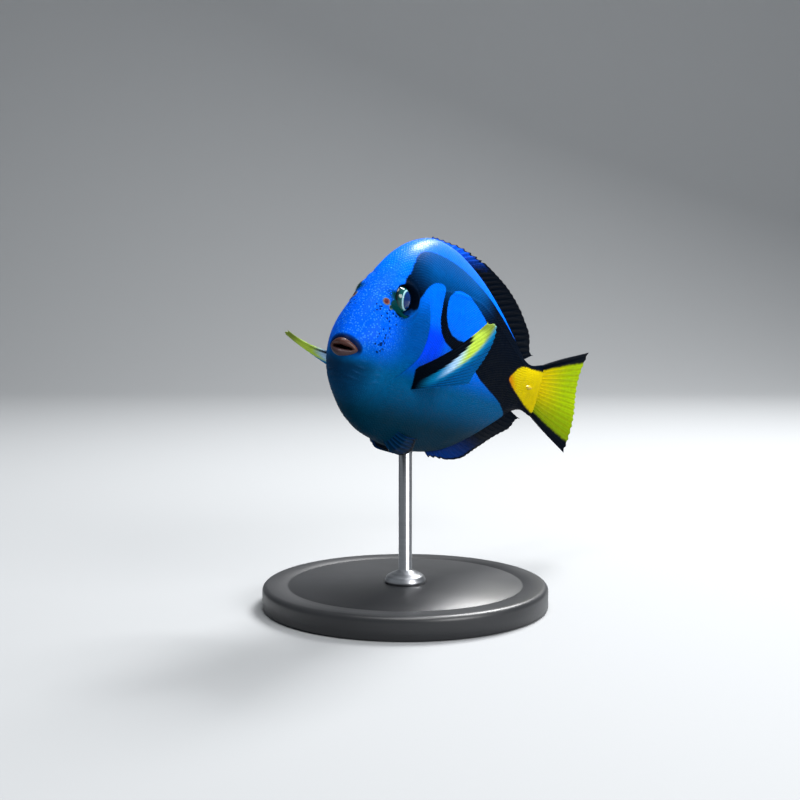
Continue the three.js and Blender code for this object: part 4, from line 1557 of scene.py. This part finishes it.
# %% Fin finishes
FIN_BLUE = paint(0, 84, 226)
FIN_DEEP = paint(0, 36, 96)
FIN_BLACK = paint(2, 8, 18)
FIN_TEAL = paint(0, 76, 132)
FIN_SHADE_TEAL = paint(0, 34, 60)
FIN_CYAN = paint(6, 132, 186)
STREAK_OLIVE = paint(120, 140, 50)
STREAK_YELLOW = paint(176, 206, 70)
STREAK_HIGHLIGHT_WHITE = paint(170, 204, 232)
TAIL_LIME = paint(148, 176, 8)
LOWER_TAIL_SHADE = paint(110, 136, 6)
TAIL_SHADE = paint(150, 150, 8)
# How fast the streak crosses the rays, and the share of the length where it meets the first one.
STREAKS = {"left": (0.95, 0.9), "right": (0.25, 1.2)}


def fin_start(name):
    """A new fin finish with its stored numbers and a grain along the rays."""
    material, tree, shader = new_finish(name)
    across, out, ridge = (split(tree, stored(tree, "fin", "Vector"))[k] for k in range(3))
    grains = grain_of(tree, stored(tree, "straight", "Vector"), 1.6)
    return material, tree, shader, across, out, ridge, grains


def fin_end(tree, shader, color, ridge, grains):
    """Lays grain, ray and gloss on a fin's colour."""
    joints = number(tree, "MULTIPLY_ADD", grains["Tone"], 0.45, 0.72)
    lit = number(tree, "MULTIPLY_ADD", ridge, 0.22, joints)
    color = layer(tree, 1.0, color, grey(tree, lit), "MULTIPLY")
    rough = number(tree, "MULTIPLY_ADD", grains["Tone"], 0.25, 0.32)
    cover(tree, shader, color, rough, bump(tree, grains["Height"], 0.25, 0.0002))
    shader.inputs["Specular IOR Level"].default_value = 0.015


def blue_fin_finish(name, blue, black_from, black_to):
    material, tree, shader, across, out, ridge, grains = fin_start(name)
    ragged = number(tree, "MULTIPLY_ADD", grains["Tone"], 0.16, -0.08)
    margin = step_between(tree, number(tree, "ADD", out, ragged), 0.84, 0.93)
    stripes = times(tree, step_between(tree, ridge, 0.5, 0.9), 0.35)
    color = layer(tree, stripes, blue, FIN_DEEP)
    rear = step_between(tree, number(tree, "ADD", across, ragged), black_from, black_to)
    color = layer(tree, rear, color, FIN_BLACK)
    color = layer(tree, margin, color, FIN_BLACK)
    fin_end(tree, shader, color, ridge, grains)
    return material


def tail_finish():
    material, tree, shader, across, out, ridge, grains = fin_start("tail_yellow")
    ragged = number(tree, "MULTIPLY_ADD", grains["Tone"], 0.08, -0.04)
    edge = number(tree, "ABSOLUTE", number(tree, "MULTIPLY_ADD", across, 2.0, -1.0))
    edge = number(tree, "ADD", edge, ragged)
    yellow = layer(tree, step_between(tree, out, 0.1, 0.8), TAIL_YELLOW, TAIL_LIME)
    # Painted shade: the lower part of the tail is a darker olive.
    low = step_between(tree, across, 0.45, 0.95)
    yellow = layer(tree, low, yellow, LOWER_TAIL_SHADE)
    shade = times(tree, step_between(tree, ridge, 0.35, 0.0), 0.25)
    yellow = layer(tree, shade, yellow, TAIL_SHADE)
    color = layer(tree, step_between(tree, edge, 0.77, 0.84), yellow, FIN_BLACK)
    fin_end(tree, shader, color, ridge, grains)
    return material


def breast_fin_finish(name, slope, tip):
    """A streak runs from the leading tip down across the rays, with black before it."""
    material, tree, shader, across, out, ridge, grains = fin_start(name)
    crossing = number(tree, "MULTIPLY_ADD", out, slope, across)
    feather = number(tree, "MULTIPLY_ADD", ridge, 0.05, -0.02)
    crossing = number(tree, "ADD", crossing, feather)
    beside = number(tree, "SUBTRACT", crossing, slope * tip)
    streak = times(
        tree,
        step_between(tree, beside, -0.16, -0.09),
        step_between(tree, beside, 0.3, 0.14),
        step_between(tree, out, 0.34, 0.52),
    )
    gold = layer(tree, step_between(tree, out, 0.78, 0.93), STREAK_YELLOW, STREAK_OLIVE)
    # Painted highlight: the streak turns whitish nearer the root.
    gold = layer(tree, step_between(tree, out, 0.66, 0.5), gold, STREAK_HIGHLIGHT_WHITE)
    base = layer(tree, step_between(tree, beside, 0.5, 0.15), FIN_TEAL, FIN_CYAN)
    base = layer(tree, step_between(tree, out, 0.4, 0.12), base, FIN_BLACK)
    color = layer(tree, step_between(tree, beside, -0.05, -0.14), base, FIN_BLACK)
    color = layer(tree, streak, color, gold)
    fin_end(tree, shader, color, ridge, grains)
    between = number(tree, "SUBTRACT", 1.0, ridge)
    clear = times(tree, step_between(tree, beside, 0.1, 0.4), 0.3, between)
    fill(tree, shader.inputs["Alpha"], number(tree, "SUBTRACT", 1.0, clear))
    return material


dorsal_fin.data.materials.append(blue_fin_finish("dorsal_blue", FIN_BLUE, 0.12, 0.42))
# The anal fin is a deeper blue than the back's fin: painted shade under the body.
anal_fin.data.materials.append(blue_fin_finish("anal_blue", FIN_DEEP, 0.2, 0.6))
caudal_fin.data.materials.append(tail_finish())
# The belly fins take a dark teal, the painted shade of the underside.
belly_fin_paint = blue_fin_finish("pelvic_blue", FIN_SHADE_TEAL, 1.2, 1.4)
for label in ("left", "right"):
    breast_paint = breast_fin_finish(f"breast_fin_{label}", *STREAKS[label])
    pectoral_fins[label].data.materials.append(breast_paint)
    pelvic_fins[label].data.materials.append(belly_fin_paint)
print("fin finishes", len(bpy.data.materials))

# %% [markdown]
# ## Eye and blade finishes
# The eye is dark green round a thin pale ring, with a deep blue pupil. A sharp coat over all of it
# is the clear skin that covers a fish's eye, and it gives the bright glint.


# %% Eye and blade finishes
IRIS_DEEP = paint(0, 44, 46)
IRIS_GREEN = paint(0, 84, 80)
EYE_RIM = paint(2, 20, 24)
PUPIL_RING = paint(150, 198, 208)
PUPIL_BLUE = paint(0, 36, 92)
BLADE_LIGHT = paint(206, 176, 24)
BLADE_DARK = paint(186, 160, 10)


def eye_finish():
    material, tree, shader = new_finish("eye_dark_green")
    radius = stored(tree, "eye")
    place = add_node(tree, "ShaderNodeTexCoord").outputs["Object"]
    fleck = grain_of(tree, place, 900.0)
    iris = layer(tree, fleck["Tone"], IRIS_DEEP, IRIS_GREEN)
    color = layer(tree, step_between(tree, radius, 0.86, 0.98), iris, EYE_RIM)
    rim_in = step_between(tree, radius, PUPIL_SHARE - 0.04, PUPIL_SHARE + 0.01)
    rim_out = step_between(tree, radius, PUPIL_SHARE + 0.1, PUPIL_SHARE + 0.05)
    rim = times(tree, rim_in, rim_out)
    color = layer(tree, times(tree, rim, 0.9), color, PUPIL_RING)
    pupil = step_between(tree, radius, PUPIL_SHARE, PUPIL_SHARE - 0.05)
    color = layer(tree, pupil, color, PUPIL_BLUE)
    rough = step_between(tree, radius, 0.5, 0.7, 0.08, 0.3)
    cover(tree, shader, color, rough, bump(tree, fleck["Height"], 0.05, 0.0001))
    shader.inputs["Specular IOR Level"].default_value = 0.02
    shader.inputs["Coat Weight"].default_value = 0.7
    shader.inputs["Coat Roughness"].default_value = 0.04
    return material


def blade_finish():
    material, tree, shader = new_finish("blade_pale_yellow")
    fleck = grain_of(tree, stored(tree, "straight", "Vector"), 3.0)
    color = layer(tree, fleck["Tone"], BLADE_LIGHT, BLADE_DARK)
    rough = number(tree, "MULTIPLY_ADD", fleck["Tone"], 0.2, 0.2)
    cover(tree, shader, color, rough, bump(tree, fleck["Height"], 0.15, 0.0001))
    return material


eye_paint, blade_paint = eye_finish(), blade_finish()
for label in ("left", "right"):
    eyes[label].data.materials.append(eye_paint)
    blades[label].data.materials.append(blade_paint)
print("finishes so far", [m.name for m in bpy.data.materials])

# %% [markdown]
# ## The stand
# The base is turned metal under satin black paint and the rod is brushed steel. Both are lathed
# again with more sides than the solids, so that their rims look round close by.

# %% Stand
BASE_EDGE = 2.2
ROD_RADIUS = 2.6
ROD_FOOT_RADIUS = 8
ROD_FOOT_HEIGHT = 5
GROOVE_DEPTH = 0.5
LATHE_SIDES = 160


def lathe(name, profile):
    """Turns a profile of (radius, height) about the upright axis into a closed mesh."""
    turn = np.arange(LATHE_SIDES) / LATHE_SIDES * math.tau
    rings = profile[1:-1]
    points = [
        (radius * math.cos(a), radius * math.sin(a), height) for radius, height in rings for a in turn
    ]
    points += [(0, 0, profile[0][1]), (0, 0, profile[-1][1])]
    count = len(points)
    faces = loft_faces(len(rings), LATHE_SIDES, count - 2, count - 1)
    return add_piece(name, np.array(points, float) * MM, faces)


edge = [
    (
        BASE_RADIUS - BASE_EDGE * (1 - math.cos(a)),
        BASE_HEIGHT - BASE_EDGE * (1 - math.sin(a)),
    )
    for a in np.linspace(0, math.pi / 2, ARC_STEPS)
]
low = BASE_EDGE * 0.4
groove = [
    (BASE_RADIUS - inset, BASE_HEIGHT - depth)
    for inset, depth in ((9, 0), (9.6, GROOVE_DEPTH), (10.4, GROOVE_DEPTH), (11, 0))
]
outline = [(0, 0), (BASE_RADIUS - low, 0), (BASE_RADIUS, low), *edge, *groove, (0, BASE_HEIGHT)]
stand_base = lathe("stand_base_turned", outline)
foot = BASE_HEIGHT + 0.3
flare = [
    (mix(ROD_FOOT_RADIUS - 0.3, ROD_RADIUS, smooth(t)), foot + mix(1.2, ROD_FOOT_HEIGHT, t**0.7))
    for t in np.linspace(0, 1, ARC_STEPS)
]
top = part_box("stand_rod")[1].z / MM
outline = [(0, foot - 0.3), (ROD_FOOT_RADIUS, foot - 0.3), (ROD_FOOT_RADIUS, foot + 0.9), *flare]
outline += [(ROD_RADIUS, top - 0.6), (ROD_RADIUS - 0.6, top), (0, top)]
stand_rod = lathe("stand_rod_turned", outline)


BASE_BLACK = paint(28, 29, 31)
BASE_WORN = paint(46, 47, 50)
STEEL_DARK = paint(150, 152, 156)
STEEL_LIGHT = paint(206, 208, 212)
# Brushing runs round the rod, so the grain is far finer along it than across it.
BRUSHING = (90.0, 90.0, 6000.0)


def satin_black_finish():
    material, tree, shader = new_finish("base_satin_black")
    place = add_node(tree, "ShaderNodeTexCoord").outputs["Object"]
    speck, wear = grain_of(tree, place, 1200.0), grain_of(tree, place, 60.0)
    color = layer(tree, wear["Tone"], BASE_BLACK, BASE_WORN)
    rough = number(tree, "MULTIPLY_ADD", wear["Tone"], 0.3, 0.25)
    cover(tree, shader, color, rough, bump(tree, speck["Height"], 0.15, 0.0001))
    return material


def steel_finish():
    material, tree, shader = new_finish("rod_brushed_steel")
    place = add_node(tree, "ShaderNodeTexCoord").outputs["Object"]
    stretched = add_node(tree, "ShaderNodeMapping", {"Vector": place, "Scale": BRUSHING})
    lines = add_node(
        tree, "ShaderNodeTexNoise", {"Vector": stretched.outputs[0], "Scale": 1.0, "Detail": 3.0}
    ).outputs["Fac"]
    color = layer(tree, lines, STEEL_DARK, STEEL_LIGHT)
    rough = number(tree, "MULTIPLY_ADD", lines, 0.25, 0.2)
    cover(tree, shader, color, rough, bump(tree, lines, 0.1, 0.0001))
    shader.inputs["Metallic"].default_value = 1.0
    return material


stand_base.data.materials.append(satin_black_finish())
stand_rod.data.materials.append(steel_finish())
print("rod top", round(top, 1), "mm")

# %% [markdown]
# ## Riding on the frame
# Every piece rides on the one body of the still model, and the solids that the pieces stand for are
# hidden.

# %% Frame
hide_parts("head", "trunk", "tail_stock")
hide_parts("dorsal_fin")
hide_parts("anal_fin")
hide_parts("caudal_fin")
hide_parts("stand_base")
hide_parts("stand_rod")
slots = {
    "skin": [skin, *sockets.values(), *coat],
    "fin": [dorsal_fin, anal_fin, *pectoral_fins.values(), *pelvic_fins.values()],
    "yellow_fin": [caudal_fin],
    "eye": list(eyes.values()),
    "spine": list(blades.values()),
    "stand_base": [stand_base],
    "stand_rod": [stand_rod],
}
for label in ("left", "right"):
    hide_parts(f"pectoral_fin_{label}")
    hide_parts(f"pelvic_fin_{label}")
    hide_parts(f"eye_{label}")
    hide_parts(f"caudal_spine_{label}")
for slot, pieces in slots.items():
    for piece in pieces:
        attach(piece, "root")
print("pieces", sum(len(pieces) for pieces in slots.values()))

# %% [markdown]
# ## Floor, light and camera
# The floor is a plain pale sheet that curves up behind the model, so that no edge shows. It is
# turned to face the camera, whose place and target are stated first, because the lamps are turned
# to the same target.

# %% Floor
CAMERA_PLACE = Vector((-0.472682, -0.221773, 0.128528))
CAMERA_TARGET = Vector((0.003943, 0.004152, 0.080407))
FLOOR_REACH = 1.6
FLOOR_RADIUS = 0.5
FLOOR_RISE = 2.2
FLOOR_HALF_WIDTH = 3.0
CURVE_STEPS = 24


def backdrop():
    """A floor with a curved rise behind it, turned to face the camera."""
    turn = np.linspace(0, math.pi / 2, CURVE_STEPS)
    rows = [(-FLOOR_REACH, 0.0), (FLOOR_REACH * 0.6, 0.0)]
    rows += [
        (FLOOR_REACH * 0.6 + FLOOR_RADIUS * math.sin(a), FLOOR_RADIUS * (1 - math.cos(a)))
        for a in turn[1:]
    ]
    rows.append((rows[-1][0], FLOOR_RISE))
    away = (CAMERA_TARGET - CAMERA_PLACE).to_2d().normalized()
    across = Vector((-away.y, away.x))
    points, faces = [], []
    for reach, height in rows:
        for side in (-1, 1):
            at = away * reach + across * side * FLOOR_HALF_WIDTH
            points.append((at.x, at.y, height))
    for i in range(len(rows) - 1):
        faces.append((2 * i, 2 * i + 1, 2 * i + 3, 2 * i + 2))
    mesh = bpy.data.meshes.new("floor")
    mesh.from_pydata(points, [], faces)
    shade_smooth(mesh)
    return linked("floor", mesh)


floor = backdrop()
floor_paint, tree, shader = new_finish("pale_floor")
shader.inputs["Base Color"].default_value = paint(156, 158, 160)
shader.inputs["Roughness"].default_value = 0.85
floor.data.materials.append(floor_paint)
print("floor size", [round(v, 2) for v in floor.dimensions])

# %% [markdown]
# A wide soft lamp hangs above the fish and another stands beside its left flank. A smaller one
# behind its back draws the bright streak on the nape. The world around gives a weak cool light.

# %% Lights
def aim(thing, place):
    """Puts a lamp or a camera at a place and turns it to the fish."""
    thing.location = place
    thing.rotation_mode = "QUATERNION"
    thing.rotation_quaternion = (place - CAMERA_TARGET).to_track_quat("Z", "Y")


def soft_light(name, place, size, power):
    lamp = bpy.data.lights.new(name, "AREA")
    lamp.shape = "DISK"
    lamp.size = size
    lamp.energy = power
    aim(linked(name, lamp), Vector(place))


soft_light("top_light", (-0.1, -0.1, 1.1), 0.6, 8.0)
soft_light("flank_light", (-0.4, -1.05, 0.6), 0.6, 12.0)
soft_light("back_light", (0.62, -0.12, 0.85), 0.45, 20.0)
world = bpy.data.worlds.new("studio")
world.use_nodes = True
world.node_tree.nodes["Background"].inputs[0].default_value = (0.78, 0.84, 0.9, 1)
world.node_tree.nodes["Background"].inputs[1].default_value = 0.3
scene.world = world
scene.view_settings.view_transform = "Standard"
print("lamps", len(bpy.data.lights))

# %% [markdown]
# The camera looks at the fish from its front left, a little above it, as the photograph was
# taken.

# %% Camera
SENSOR_WIDTH = 36.0
# The lens' length and the frame's width, both in pixels of the square frame.
LENS_PIXELS = 1349
IMAGE_PIXELS = 800

camera_data = bpy.data.cameras.new("camera")
camera_data.sensor_width = SENSOR_WIDTH
camera_data.lens = SENSOR_WIDTH * LENS_PIXELS / IMAGE_PIXELS
camera_data.clip_start = 0.01
camera = linked("camera", camera_data)
aim(camera, CAMERA_PLACE)
scene.camera = camera
print("lens", round(camera_data.lens, 1), "mm")
